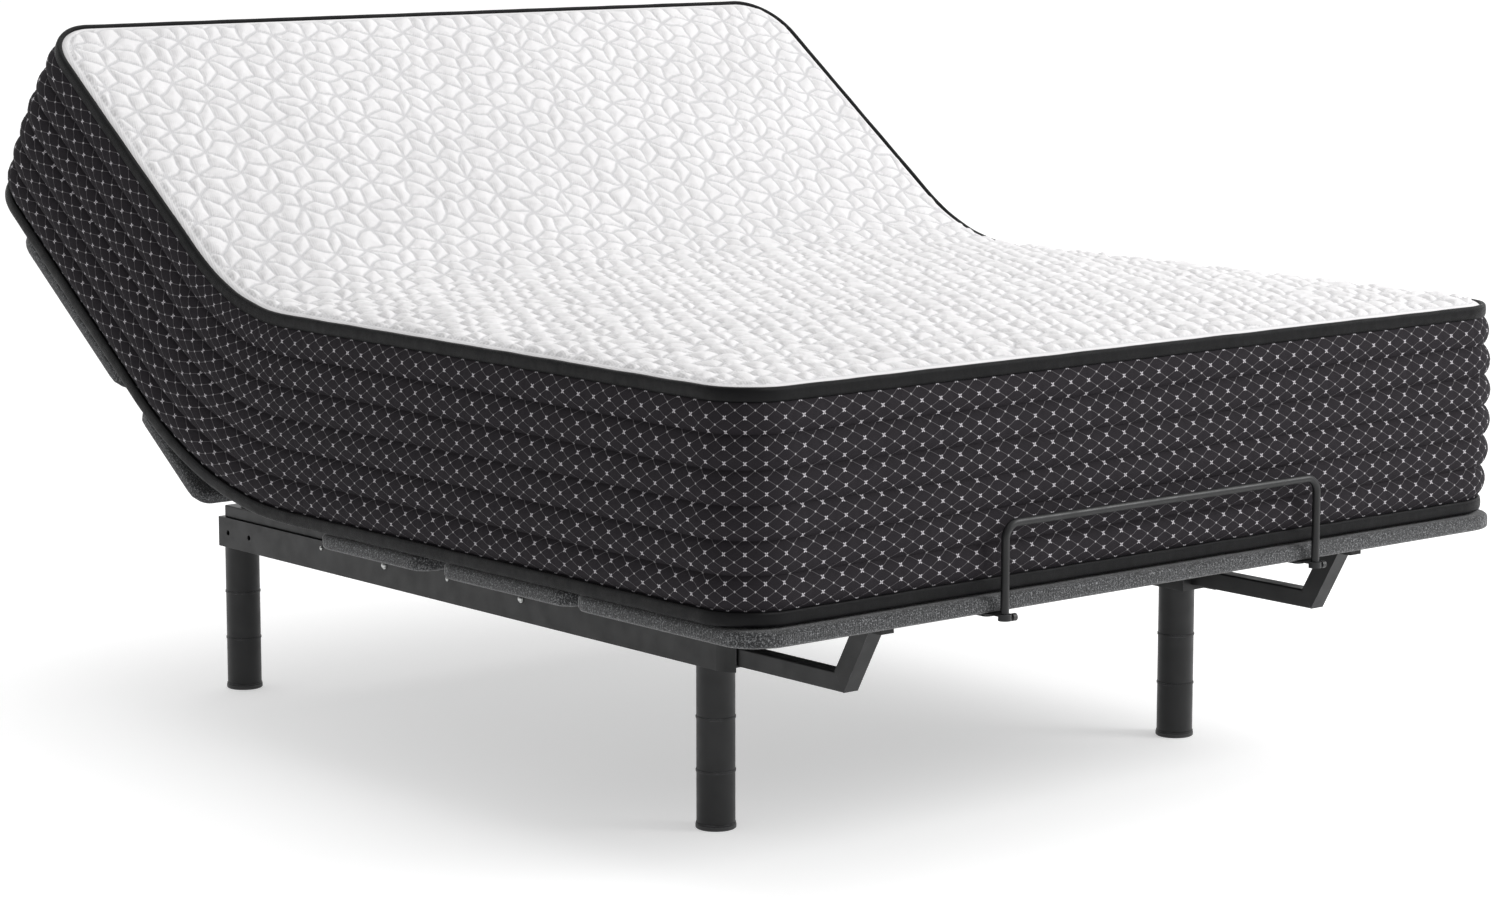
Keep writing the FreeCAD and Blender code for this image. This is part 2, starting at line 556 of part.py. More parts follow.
def drive_nodes():
    """Both actuators at their stored lengths, the tubes and brackets that carry them, and the electrics."""
    nodes, pins, brackets, tubes = {}, [], [], []
    head_tip = crank_tip(HEAD_HINGE, HEAD_CRANK_FLAT, HEAD_REST, True)
    foot_tip = crank_tip(THIGH_HINGE, FOOT_CRANK_FLAT, 0.0, False)
    for name, x, pivot_y, tip in (
        ("head", ACTUATOR_X, HEAD_PIVOT_Y, head_tip),
        ("foot", -ACTUATOR_X, FOOT_PIVOT_Y, foot_tip),
    ):
        length, slope = actuator_line(pivot_y, tip)
        for piece, shape in actuator_shapes(x, length).items():
            shape = turn(shape, 0, PIVOT_Z, slope)
            if name == "foot":
                shape = shape.mirror(Vector(0, 0, 0), Vector(0, 1, 0))
            shape.translate(Vector(0, pivot_y, 0))
            nodes[f"{name}_actuator_{piece}"] = shape
        pins.append(rod(x - 18, x + 18, pivot_y, PIVOT_Z, PIN_RADIUS))
        for x0 in (x - 16, x + 10):
            plate = ear(x0, x0 + PLATE, pivot_y, PIVOT_Z, EAR_RADIUS, RAIL_TOP - PIVOT_Z, PIN_RADIUS)
            plate = plate.fuse(
                box(x0, x0 + PLATE, pivot_y - EAR_RADIUS, pivot_y, PIVOT_Z + EAR_RADIUS, RAIL_TOP))
            brackets.append(plate.removeSplitter())
        half = RAIL_INNER + 14
        tubes.append(tube(-half, half, pivot_y - 20, pivot_y + 20, RAIL_TOP, UPPER_RAIL_TOP + 4, "x"))
    control = round_edges(box(-100, 100, 1100, 1225, 322, PANEL_BOTTOM), Vector(0, 0, 1), 8.0)
    inlet_hole = box(-24, 24, 1095, 1112, 330, 352)
    control = control.cut(inlet_hole)
    inlet = box(-24, 24, 1098, 1112, 330, 352).cut(box(-18, 18, 1095, 1108, 334, 348))
    nodes.update({
        "actuator_cross_tubes": Part.Compound(tubes),
        "actuator_brackets": Part.Compound(brackets),
        "actuator_pins": Part.Compound(pins),
        "control_box": control,
        "power_inlet": inlet,
    })
    return nodes


# Mattress

def slice_between(y0, y1, cut0, cut1, bend0_z=0.0, bend1_z=0.0):
    """Mattress slice whose end faces lean away from the bend lines below it by the given angles."""
    def edge(y, angle, bend_z, z):
        return y + math.tan(math.radians(angle)) * (z - bend_z)
    outline = [
        (edge(y0, cut0, bend0_z, MATTRESS_BOTTOM), MATTRESS_BOTTOM),
        (edge(y1, -cut1, bend1_z, MATTRESS_BOTTOM), MATTRESS_BOTTOM),
        (edge(y1, -cut1, bend1_z, MATTRESS_TOP), MATTRESS_TOP),
        (edge(y0, cut0, bend0_z, MATTRESS_TOP), MATTRESS_TOP),
    ]
    return profile(outline, -MATTRESS_HALF_WIDTH, MATTRESS_HALF_WIDTH)


def mattress_nodes():
    """The mattress as slices, drawn flat and then bent as far as the stored pose."""
    head_z, hip_z = HEAD_BEND_Z, HIP_BEND_Z
    foot = slice_between(MATTRESS_FOOT, KNEE_HINGE - 1, 0, 0)
    thigh = slice_between(KNEE_HINGE + 1, HIP_BEND_FOOT, 0, HIP_CUT, bend1_z=hip_z)
    hip = slice_between(HIP_BEND_FOOT, HIP_BEND_HEAD, HIP_CUT, HIP_CUT, hip_z, hip_z)
    seat = slice_between(HIP_BEND_HEAD, HEAD_BEND_FOOT, HIP_CUT, HEAD_CUT, hip_z, head_z)
    lumbar = slice_between(HEAD_BEND_FOOT, HEAD_BEND_HEAD, HEAD_CUT, HEAD_CUT, head_z, head_z)
    shoulder = slice_between(HEAD_BEND_HEAD, SHOULDER_END, HEAD_CUT, 0, head_z)
    head = slice_between(SHOULDER_END + SOFT_GAP, MATTRESS_HEAD, 0, 0)
    half = HEAD_REST / 2
    head.translate(Vector(0, CREEP, 0))
    shoulder, head = (turn(s, HEAD_BEND_HEAD, head_z, half) for s in (shoulder, head))
    lumbar, shoulder, head = (turn(s, HEAD_BEND_FOOT, head_z, half) for s in (lumbar, shoulder, head))
    return {
        "mattress_foot": foot,
        "mattress_thigh": thigh,
        "mattress_hip": hip,
        "mattress_seat": seat,
        "mattress_lumbar": lumbar,
        "mattress_shoulder": shoulder,
        "mattress_head": head,
    }


def all_nodes():
    """Every node at its place in the stored pose, before the shift to the row's origin."""
    nodes = {}
    nodes.update(frame_nodes())
    nodes.update(leg_nodes())
    nodes.update(fixed_deck_nodes())
    nodes.update(hinge_nodes())
    raised = head_section_nodes()
    nodes.update({name: turn(shape, HEAD_HINGE, PIN_Z, HEAD_REST) for name, shape in raised.items()})
    nodes.update(thigh_section_nodes())
    nodes.update(foot_section_nodes())
    nodes.update(link_node())
    nodes.update(drive_nodes())
    nodes.update(mattress_nodes())
    return nodes


def centre_y(nodes):
    """Middle of the whole object along the bed."""
    whole = Part.Compound(list(nodes.values())).optimalBoundingBox(False, False)
    return (whole.YMin + whole.YMax) / 2


NODES = all_nodes()
SHIFT = -centre_y(NODES)

for node_name, node_shape in NODES.items():
    node_shape.translate(Vector(0, SHIFT, 0))
    node_shape.exportStep(f"parts/{node_name}.step")
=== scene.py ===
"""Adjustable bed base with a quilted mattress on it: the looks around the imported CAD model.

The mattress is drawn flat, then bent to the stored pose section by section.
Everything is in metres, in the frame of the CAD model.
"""
import json
import math

import bmesh
import bpy
import numpy as np
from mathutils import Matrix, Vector


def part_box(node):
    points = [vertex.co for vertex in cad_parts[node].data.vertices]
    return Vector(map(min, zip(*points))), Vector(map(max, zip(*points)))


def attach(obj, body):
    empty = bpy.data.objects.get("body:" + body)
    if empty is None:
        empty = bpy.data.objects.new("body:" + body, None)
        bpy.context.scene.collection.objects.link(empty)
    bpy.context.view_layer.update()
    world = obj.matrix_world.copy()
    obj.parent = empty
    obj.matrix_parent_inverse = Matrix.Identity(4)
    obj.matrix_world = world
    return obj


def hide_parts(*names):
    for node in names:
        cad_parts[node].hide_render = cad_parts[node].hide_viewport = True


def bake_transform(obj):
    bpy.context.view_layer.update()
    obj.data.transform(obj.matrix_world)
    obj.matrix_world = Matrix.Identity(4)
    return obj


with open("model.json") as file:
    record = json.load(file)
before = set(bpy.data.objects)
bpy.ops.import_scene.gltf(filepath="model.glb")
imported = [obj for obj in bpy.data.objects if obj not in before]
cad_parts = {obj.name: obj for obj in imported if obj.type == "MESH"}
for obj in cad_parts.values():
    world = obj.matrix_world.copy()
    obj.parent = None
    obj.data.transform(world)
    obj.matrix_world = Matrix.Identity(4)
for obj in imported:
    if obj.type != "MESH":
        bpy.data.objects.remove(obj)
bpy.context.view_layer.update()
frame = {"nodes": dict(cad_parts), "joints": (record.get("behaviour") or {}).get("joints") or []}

MM = 0.001

# ---- sizes read from the frame
JOINTS = {j["name"]: j for j in frame["joints"]}
DECK_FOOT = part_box("foot_panel")[0].y
HALF_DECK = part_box("foot_panel")[1].x
PANEL_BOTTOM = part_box("foot_panel")[0].z
PANEL_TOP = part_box("foot_panel")[1].z
HEAD_PIVOT = JOINTS["head_lift"]["pos_m"]
HEAD_REST = -JOINTS["head_lift"]["range_deg"][0]

# ---- mattress, flat
MATTRESS_LOW, MATTRESS_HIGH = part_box("mattress_foot")
BASE = MATTRESS_LOW.z
PIPING_Z = MATTRESS_HIGH.z - 4 * MM  # the seam between the border and the top
HALF_WIDTH = MATTRESS_HIGH.x - 6 * MM  # at the seams of the border
FOOT_END = MATTRESS_LOW.y + 5 * MM
FLAT_LENGTH = 2.041
HEAD_END = FOOT_END + FLAT_LENGTH
CORNER = 80 * MM  # plan radius of the corners
QUILT_HEM_Z = PIPING_Z + 2 * MM
EDGE_RISE = 9 * MM  # how fast the top puffs up beside the binding
CROWN = 16 * MM
CHANNELS = 6
CHANNEL_FOOT = BASE + 23 * MM  # top of the lower binding
CHANNEL_HEAD = PIPING_Z - 10 * MM
CHANNEL_DEPTH = 10 * MM
BELLY = 8 * MM  # how far the whole border stands out at mid-height
LEAF = 64 * MM  # length of one quilted leaf
LEAF_HALF_WIDTH = LEAF / (2 * math.sqrt(3))
LEAF_HEIGHT = 6 * MM
TOP_STEP = 3 * MM
BORDER_STEP = 4.5 * MM

# ---- how the mattress bends
BEND = math.radians(HEAD_REST) / 2  # turn at each of the two bends at rest
LOW_BEND = JOINTS["mattress_lumbar_bend"]["pos_m"][1:]
CREEP = -JOINTS["mattress_creep"]["range_m"][0]


def turned(y, z, pivot, angle):
    """y and z turned about a pivot in the side view; a positive angle lifts the head end."""
    dy, dz = y - pivot[0], z - pivot[1]
    cosine, sine = np.cos(angle), np.sin(angle)
    return pivot[0] + dy * cosine - dz * sine, pivot[1] + dy * sine + dz * cosine


HIGH_BEND = turned(*JOINTS["mattress_shoulder_bend"]["pos_m"][1:], LOW_BEND, -BEND)
BEND_MIDDLE = (LOW_BEND[0] + HIGH_BEND[0]) / 2
ARC_Z = 1.135  # height of the centre that the mattress bends round
ARC_Y = LOW_BEND[0] + (BEND_MIDDLE - LOW_BEND[0] - (ARC_Z - LOW_BEND[1]) * math.sin(BEND)) / math.cos(BEND)
BEND_START = ARC_Y
BEND_END = 2 * BEND_MIDDLE - BEND_START
EASE = 0.18  # share of a bend over which it starts, and ends


def along_deck(distance):
    """A place along the flat deck, from its foot edge, as a y of the frame."""
    return DECK_FOOT + distance


FOOT_SEAM = along_deck(0.531)  # between the foot and thigh sections of the mattress
THIGH_SEAM = along_deck(0.731)
HIP_SEAM = along_deck(0.967)
HEAD_SEAM = along_deck(1.703)

# name, body nearer the seat, body farther from it, y where it follows the near one, y where the far one
SECTIONS = [
    ("foot", "mattress_thigh", "mattress_foot", FOOT_SEAM, along_deck(0.263)),
    ("thigh", "mattress_hip", "mattress_thigh", THIGH_SEAM, along_deck(0.551)),
    ("hip", "root", "mattress_hip", along_deck(0.911), THIGH_SEAM),
    ("lumbar", "root", "mattress_lumbar", BEND_START, BEND_MIDDLE),
    ("shoulder", "mattress_lumbar", "mattress_shoulder", BEND_MIDDLE, BEND_END),
    ("head", "mattress_shoulder", "mattress_head", HEAD_SEAM, along_deck(2.040)),
]
SPANS = {
    "foot": (FOOT_END, FOOT_SEAM),
    "thigh": (FOOT_SEAM, THIGH_SEAM),
    "hip": (THIGH_SEAM, HIP_SEAM),
    "lumbar": (HIP_SEAM, BEND_MIDDLE),
    "shoulder": (BEND_MIDDLE, HEAD_SEAM),
    "head": (HEAD_SEAM, HEAD_END),
}
STANDS_FOR = {name: [f"mattress_{name}"] for name in SPANS}
STANDS_FOR["hip"].append("mattress_seat")


def smooth(t):
    """0 to 1 with level ends."""
    t = np.clip(t, 0, 1)
    return t * t * (3 - 2 * t)


def weight(section, y):
    """How far a point at flat y follows the section's farther body: an even rise with eased ends."""
    near, far = section[3], section[4]
    t = np.clip((y - near) / (far - near), 0, 1)
    slope = 1 / (1 - EASE)
    start = slope * t**2 / (2 * EASE)
    end = 1 - slope * (1 - t) ** 2 / (2 * EASE)
    return np.where(t < EASE, start, np.where(t > 1 - EASE, end, slope * (t - EASE / 2)))


def bent(points):
    """Flat points of the mattress as they lie at rest: level, round an arc, and up the head section."""
    x, y, z = points.T
    angle = 2 * BEND * np.clip((y - BEND_START) / (BEND_END - BEND_START), 0, 1)
    radius = ARC_Z - z
    before = np.minimum(y - BEND_START, 0)
    beyond = np.maximum(y - BEND_END, 0) + CREEP * weight(SECTIONS[-1], y)
    rest_y = ARC_Y + before + radius * np.sin(angle) + beyond * np.cos(angle)
    rest_z = ARC_Z - radius * np.cos(angle) + beyond * np.sin(angle)
    return np.stack([x, rest_y, rest_z], axis=1)


def arc_length(height):
    """Flat y against the length along the rest shape at a height, from the foot end."""
    y = np.linspace(FOOT_END, HEAD_END, 4001)
    line = bent(np.stack([np.zeros_like(y), y, np.full_like(y, height)], axis=1))
    steps = np.linalg.norm(np.diff(line, axis=0), axis=1)
    return y, np.concatenate([[0.0], np.cumsum(steps)])


TOP_ARC = arc_length(PIPING_Z + CROWN)
SIDE_ARC = arc_length((BASE + PIPING_Z) / 2)


def rows(span, arc, step):
    """Flat y values inside a span that lie evenly along the rest shape."""
    start, end = np.interp(span, *arc)
    count = max(2, round((end - start) / step))
    return np.interp(np.linspace(start, end, count + 1), arc[1], arc[0])


# ---- meshes
def new_mesh(name, points, faces, materials, face_materials=None, flat_faces=()):
    """Object from points and faces; faces are smooth apart from the flat ones."""
    mesh = bpy.data.meshes.new(name)
    mesh.from_pydata([tuple(p) for p in points.tolist()], [], faces)
    for material in materials:
        mesh.materials.append(material)
    smooth_faces = np.ones(len(mesh.polygons), dtype=bool)
    smooth_faces[list(flat_faces)] = False
    mesh.polygons.foreach_set("use_smooth", smooth_faces)
    if face_materials is not None:
        mesh.polygons.foreach_set("material_index", face_materials)
    piece = bpy.data.objects.new(name, mesh)
    bpy.context.scene.collection.objects.link(piece)
    return piece


def outward(piece):
    """Turns every face of a closed piece outwards."""
    work = bmesh.new()
    work.from_mesh(piece.data)
    bmesh.ops.recalc_face_normals(work, faces=work.faces)
    work.to_mesh(piece.data)
    work.free()


def store_cloth(piece, coordinates):
    """Keeps where each point lies on the flat cloth, in metres, for weaves and prints to follow."""
    attribute = piece.data.attributes.new("cloth", "FLOAT_VECTOR", "POINT")
    attribute.data.foreach_set("vector", np.asarray(coordinates, dtype=np.float32).ravel())


def extended(lines):
    """The same evenly stepped lines with one more at each end."""
    return np.concatenate([[2 * lines[0] - lines[1]], lines, [2 * lines[-1] - lines[-2]]])


def grid_normals(grid, side, closed=False):
    """Normals of a grid of bent points that has one more line at each end, so that two sections
    shade as one surface where they meet; side says roughly which way is out."""
    along = grid[2:] - grid[:-2]
    if closed:
        across = (np.roll(grid, -1, axis=1) - np.roll(grid, 1, axis=1))[1:-1]
    else:
        across = np.gradient(grid, axis=1)[1:-1]
    normals = np.cross(along, across)
    normals /= np.linalg.norm(normals, axis=-1, keepdims=True) + 1e-12
    normals *= np.where(np.sum(normals * side, axis=-1, keepdims=True) < 0, -1, 1)
    return normals.reshape(-1, 3)


def shade_with(piece, normals, smooth_count):
    """Gives the first points of a piece these normals on its smooth faces; the rest keep their own."""
    mesh = piece.data
    corner_points = np.empty(len(mesh.loops), dtype=np.int32)
    mesh.loops.foreach_get("vertex_index", corner_points)
    totals = np.empty(len(mesh.polygons), dtype=np.int32)
    mesh.polygons.foreach_get("loop_total", totals)
    is_smooth = np.zeros(len(mesh.polygons), dtype=bool)
    mesh.polygons.foreach_get("use_smooth", is_smooth)
    use = np.repeat(is_smooth, totals) & (corner_points < smooth_count)
    corner_normals = np.zeros((len(corner_points), 3), dtype=np.float32)
    corner_normals[use] = normals[corner_points[use]]
    mesh.normals_split_custom_set(corner_normals.tolist())


def store_value(piece, name, values):
    """Keeps one number for each point, for a material to read."""
    attribute = piece.data.attributes.new(name, "FLOAT", "POINT")
    attribute.data.foreach_set("value", np.asarray(values, dtype=np.float32))


def grid_faces(row_count, column_count, offset=0):
    """Quads of a grid whose points run row by row."""
    corner = np.arange((row_count - 1) * column_count).reshape(row_count - 1, column_count)[:, :-1]
    corner = corner.ravel() + offset
    quads = np.stack([corner, corner + 1, corner + column_count + 1, corner + column_count], axis=1)
    return quads.tolist()


def half_width_at(y, low, high, half_width, radius_low, radius_high):
    """Half width of a rounded rectangle at y, with its own corner radius at each end."""
    result = np.full_like(y, half_width)
    for edge, radius in ((y - low, radius_low), (high - y, radius_high)):
        if radius:
            near = np.clip(edge, 0, radius)
            result -= radius - np.sqrt(np.clip(radius**2 - (radius - near) ** 2, 0, None))
    return result


def edge_distance(x, y, low, high, half_width, radius_low, radius_high):
    """Distance inwards from the outline of a rounded rectangle."""
    radius = np.where(y < (low + high) / 2, radius_low, radius_high)
    across = np.abs(x) - (half_width - radius)
    along = np.abs(y - (low + high) / 2) - ((high - low) / 2 - radius)
    outside = np.hypot(np.clip(across, 0, None), np.clip(along, 0, None))
    inside = np.minimum(np.maximum(across, along), 0)
    return np.clip(radius - outside - inside, 0, None)


def bend_with(piece):
    """Bakes the piece's placement into its mesh."""
    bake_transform(piece)


# ---- cloth blown up between its seams
SWATCH_STEP = 2.7 * MM
SWATCH_SCALE = 1 / LEAF  # the cloth solver works at this many times life size
SWATCH_MARGIN = 9  # lines over which a swatch fades into its repeat
BLOW_FRAMES = 20
BLOW_PRESSURE = 40


def grid_counts(width, height, step):
    """Columns and rows of a swatch, without its margins."""
    return round(width / step), round(height / step)


def blown(x, y, sewn, growth):
    """Heights that a flat cloth takes, in metres, when it is sewn down at some points of its grid
    and blown up from below. The cloth is cut a little too large, so it wrinkles at the seams."""
    row_count, column_count = x.shape
    uneven = np.random.default_rng(5).normal(0, 0.2 * MM, x.size) * ~sewn.ravel()
    points = np.stack([x.ravel(), y.ravel(), uneven], axis=1) * SWATCH_SCALE
    swatch = new_mesh("swatch", points, grid_faces(row_count, column_count), [])
    seams = swatch.vertex_groups.new(name="seams")
    seams.add(np.flatnonzero(sewn).tolist(), 1.0, "REPLACE")
    cloth = swatch.modifiers.new("cloth", "CLOTH")
    cloth.point_cache.frame_start, cloth.point_cache.frame_end = 1, BLOW_FRAMES
    cloth.collision_settings.use_collision = False
    for setting, value in {
        "quality": 5, "mass": 0.01, "tension_stiffness": 15, "compression_stiffness": 15,
        "shear_stiffness": 7.5, "bending_stiffness": 0.05, "shrink_min": -growth,
        "use_pressure": True, "uniform_pressure_force": BLOW_PRESSURE, "vertex_group_mass": "seams",
    }.items():
        setattr(cloth.settings, setting, value)
    cloth.settings.effector_weights.gravity = 0
    for moment in range(1, BLOW_FRAMES + 1):
        bpy.context.scene.frame_set(moment)
    shape = swatch.evaluated_get(bpy.context.evaluated_depsgraph_get()).to_mesh()
    result = np.empty(3 * len(points))
    shape.vertices.foreach_get("co", result)
    bpy.data.objects.remove(swatch)
    bpy.context.scene.frame_set(1)
    return result[2::3].reshape(row_count, column_count) / SWATCH_SCALE


def repeating(heights, axis):
    """The same swatch without its margin, faded so that its last line runs on into its first."""
    heights = np.moveaxis(heights, axis, 0)
    period = len(heights) - SWATCH_MARGIN
    fade = np.linspace(0, 1, SWATCH_MARGIN)[:, None]
    start = heights[period:] * (1 - fade) + heights[:SWATCH_MARGIN] * fade
    return np.moveaxis(np.concatenate([start, heights[SWATCH_MARGIN:period]]), 0, axis)


def sampled(swatch, column, row):
    """Height of a repeating swatch at a place counted in its columns and rows."""
    row_count, column_count = swatch.shape
    i, j = np.floor(row).astype(int), np.floor(column).astype(int)
    a, b = row - i, column - j
    i0, i1, j0, j1 = i % row_count, (i + 1) % row_count, j % column_count, (j + 1) % column_count
    near = swatch[i0, j0] * (1 - b) + swatch[i0, j1] * b
    far = swatch[i1, j0] * (1 - b) + swatch[i1, j1] * b
    return near * (1 - a) + far * a


# ---- quilting
LEAF_ROUND = 1.15  # 1 gives a rhombus, 2 an ellipse
LEAF_SIZE = 0.96
QUILT_REPEAT = (4 * LEAF, 2 * math.sqrt(3) * LEAF)  # the leaves repeat after this width and length
QUILT_GRID = grid_counts(*QUILT_REPEAT, SWATCH_STEP)


def leaf_cells(x, y):
    """Each point's distance inside its leaf, from 0 on the groove to 1 in the middle, its distance
    in metres from the seam, and a chance value of the leaf. The leaves fill the rhombuses on the
    edges of a lattice of triangles."""
    best = np.full_like(x, -1.0)
    seam = np.full_like(x, -1.0)
    chance = np.zeros_like(x)
    for direction in range(3):
        angle = math.radians(60 * direction)
        along = x * math.cos(angle) + y * math.sin(angle)
        across = -x * math.sin(angle) + y * math.cos(angle)
        row_gap = LEAF * math.sqrt(3) / 2
        row = np.round(across / row_gap)
        shifted = along - row * LEAF / 2 - LEAF / 2
        column = np.round(shifted / LEAF)
        u = np.abs(shifted - column * LEAF) / (LEAF / 2)
        v = np.abs(across - row * row_gap) / LEAF_HALF_WIDTH
        inside = 1 - (u**LEAF_ROUND + v**LEAF_ROUND) ** (1 / LEAF_ROUND) / LEAF_SIZE
        draw = np.sin(row * 12.9898 + column * 78.233 + direction * 37.719) * 43758.5453
        from_seam = (1 - u - v) * LEAF / 4
        chance = np.where(from_seam > seam, draw - np.floor(draw), chance)
        best = np.maximum(best, inside)
        seam = np.maximum(seam, from_seam)
    return np.clip(best, 0, 1), np.clip(seam, 0, None), chance


def blown_leaves():
    """One repeat of the quilting, blown up as cloth sewn down along its grooves, with a top of 1."""
    column_count, row_count = QUILT_GRID
    columns = np.arange(column_count + SWATCH_MARGIN) * QUILT_REPEAT[0] / column_count
    lines = np.arange(row_count + SWATCH_MARGIN) * QUILT_REPEAT[1] / row_count
    x, y = np.meshgrid(columns, lines)
    sewn = leaf_cells(x, y)[1] < 0.75 * SWATCH_STEP
    sewn[[0, -1]] = sewn[:, [0, -1]] = True
    heights = repeating(repeating(blown(x, y, sewn, 0.10), 0), 1)
    return np.clip(heights / np.percentile(heights, 97), 0, 1.15)


def soft_noise(x, y, scale, seed):
    """Smooth noise from -1 to 1: a few waves in fixed directions."""
    waves = np.random.default_rng(seed)
    total = np.zeros_like(x)
    for _ in range(6):
        angle = waves.uniform(0, math.tau)
        size = scale * waves.uniform(0.6, 1.7)
        phase = waves.uniform(0, math.tau)
        total += np.sin((x * math.cos(angle) + y * math.sin(angle)) * math.tau / size + phase)
    return total / 6


TOP_HALF = HALF_WIDTH - 1 * MM
TOP_LOW = FOOT_END + 1 * MM
TOP_HIGH = HEAD_END - 1 * MM


def quilt_height(x, y, s):
    """Height of the quilted top over its hem, and how deep in a groove each point lies."""
    d = edge_distance(x, y, TOP_LOW, TOP_HIGH, TOP_HALF, CORNER, CORNER)
    middle_x = 1 - (1 - np.clip((TOP_HALF - np.abs(x)) / 0.50, 0, 1)) ** 2
    end = np.minimum(y - TOP_LOW, TOP_HIGH - y)
    middle_y = 1 - (1 - np.clip(end / 0.55, 0, 1)) ** 2
    drift_x = 11 * MM * soft_noise(x, s, 0.13, 5) + 6 * MM * soft_noise(x, s, 0.055, 7)
    drift_s = 11 * MM * soft_noise(x, s, 0.13, 6) + 6 * MM * soft_noise(x, s, 0.055, 8)
    inside, seam, chance = leaf_cells(x + drift_x, s + drift_s)
    column = (x + drift_x) / QUILT_REPEAT[0] * QUILT_GRID[0]
    line = (s + drift_s) / QUILT_REPEAT[1] * QUILT_GRID[1]
    leaves = sampled(LEAVES, column, line)
    inner = smooth((d - 9 * MM) / (9 * MM))
    hem_stitch = np.exp(-(((d - 12 * MM) / (2.5 * MM)) ** 2))
    height = EDGE_RISE * (1 - (1 - np.clip(d / (26 * MM), 0, 1)) ** 2.4)
    height += CROWN * middle_x * middle_y
    height += LEAF_HEIGHT * inner * (leaves * (0.82 + 0.30 * chance) - 0.35)
    height += 1.4 * MM * soft_noise(x, s, 0.21, 3) * inner
    height -= 1.6 * MM * hem_stitch
    groove = (1 - smooth((seam - 0.8 * MM) / (3.2 * MM))) * inner
    turns = math.tau / (9 * MM)  # for each stitch
    stitches = 0.75 * hem_stitch * (np.sin(s * turns) + np.sin(x * turns) > -0.9)
    return height, np.maximum(groove, stitches)


def quilt_surface(y_lines):
    """Flat points of the quilted top on the given lines, with how deep in a groove each one lies."""
    share = np.linspace(-1, 1, round(2 * TOP_HALF / TOP_STEP) + 1)
    half = half_width_at(np.clip(y_lines, TOP_LOW, TOP_HIGH), TOP_LOW, TOP_HIGH, TOP_HALF, CORNER, CORNER)
    x = (half[:, None] * share[None, :]).ravel()
    y = np.repeat(y_lines, len(share))
    s = np.interp(y, *TOP_ARC)
    height, groove = quilt_height(x, y, s)
    return np.stack([x, y, QUILT_HEM_Z + height], axis=1), s, groove, len(share)


def quilt_piece(section, white, lining):
    """One section of the quilted top: a closed pad with the leaves on its upper face."""
    name = section[0]
    y_lines = extended(np.clip(rows(SPANS[name], TOP_ARC, TOP_STEP), TOP_LOW, TOP_HIGH))
    surface, s, groove, width = quilt_surface(y_lines)
    normals = grid_normals(bent(surface).reshape(-1, width, 3), np.array([0.0, 0.0, 1.0]))
    y_lines, upper = y_lines[1:-1], surface[width:-width]
    s, groove = s[width:-width], groove[width:-width]
    count = len(y_lines)
    half = upper[width - 1::width, 0]
    skirt_z = np.full(count, QUILT_HEM_Z - 4 * MM)
    points = np.concatenate([
        upper, np.stack([-half, y_lines, skirt_z], axis=1), np.stack([half, y_lines, skirt_z], axis=1)])
    faces = grid_faces(count, width)
    left, right = count * width, count * width + count
    closing = []
    for i in range(count - 1):
        first, second = i * width, (i + 1) * width
        closing.append([second, left + i + 1, left + i, first])
        closing.append([first + width - 1, right + i, right + i + 1, second + width - 1])
        closing.append([left + i, left + i + 1, right + i + 1, right + i])
    for row, flip in ((0, 1), (count - 1, -1)):
        cap = [left + row, *range(row * width, (row + 1) * width), right + row]
        closing.append(cap[::flip][::-1])
    materials = np.array([0] * len(faces) + [1] * len(closing), dtype=np.int32)
    flat_faces = range(len(faces), len(faces) + len(closing))
    piece = new_mesh(
        f"quilt_{name}", bent(points), faces + closing, [white, lining], materials, flat_faces)
    shade_with(piece, normals, len(upper))
    skirt_s = np.interp(y_lines, *TOP_ARC)
    cloth_y = np.concatenate([s, skirt_s, skirt_s])
    store_cloth(piece, np.stack([points[:, 0], cloth_y, points[:, 2]], axis=1))
    store_value(piece, "groove", np.concatenate([groove, np.zeros(2 * count)]))
    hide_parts(*STANDS_FOR[name])
    bend_with(piece)


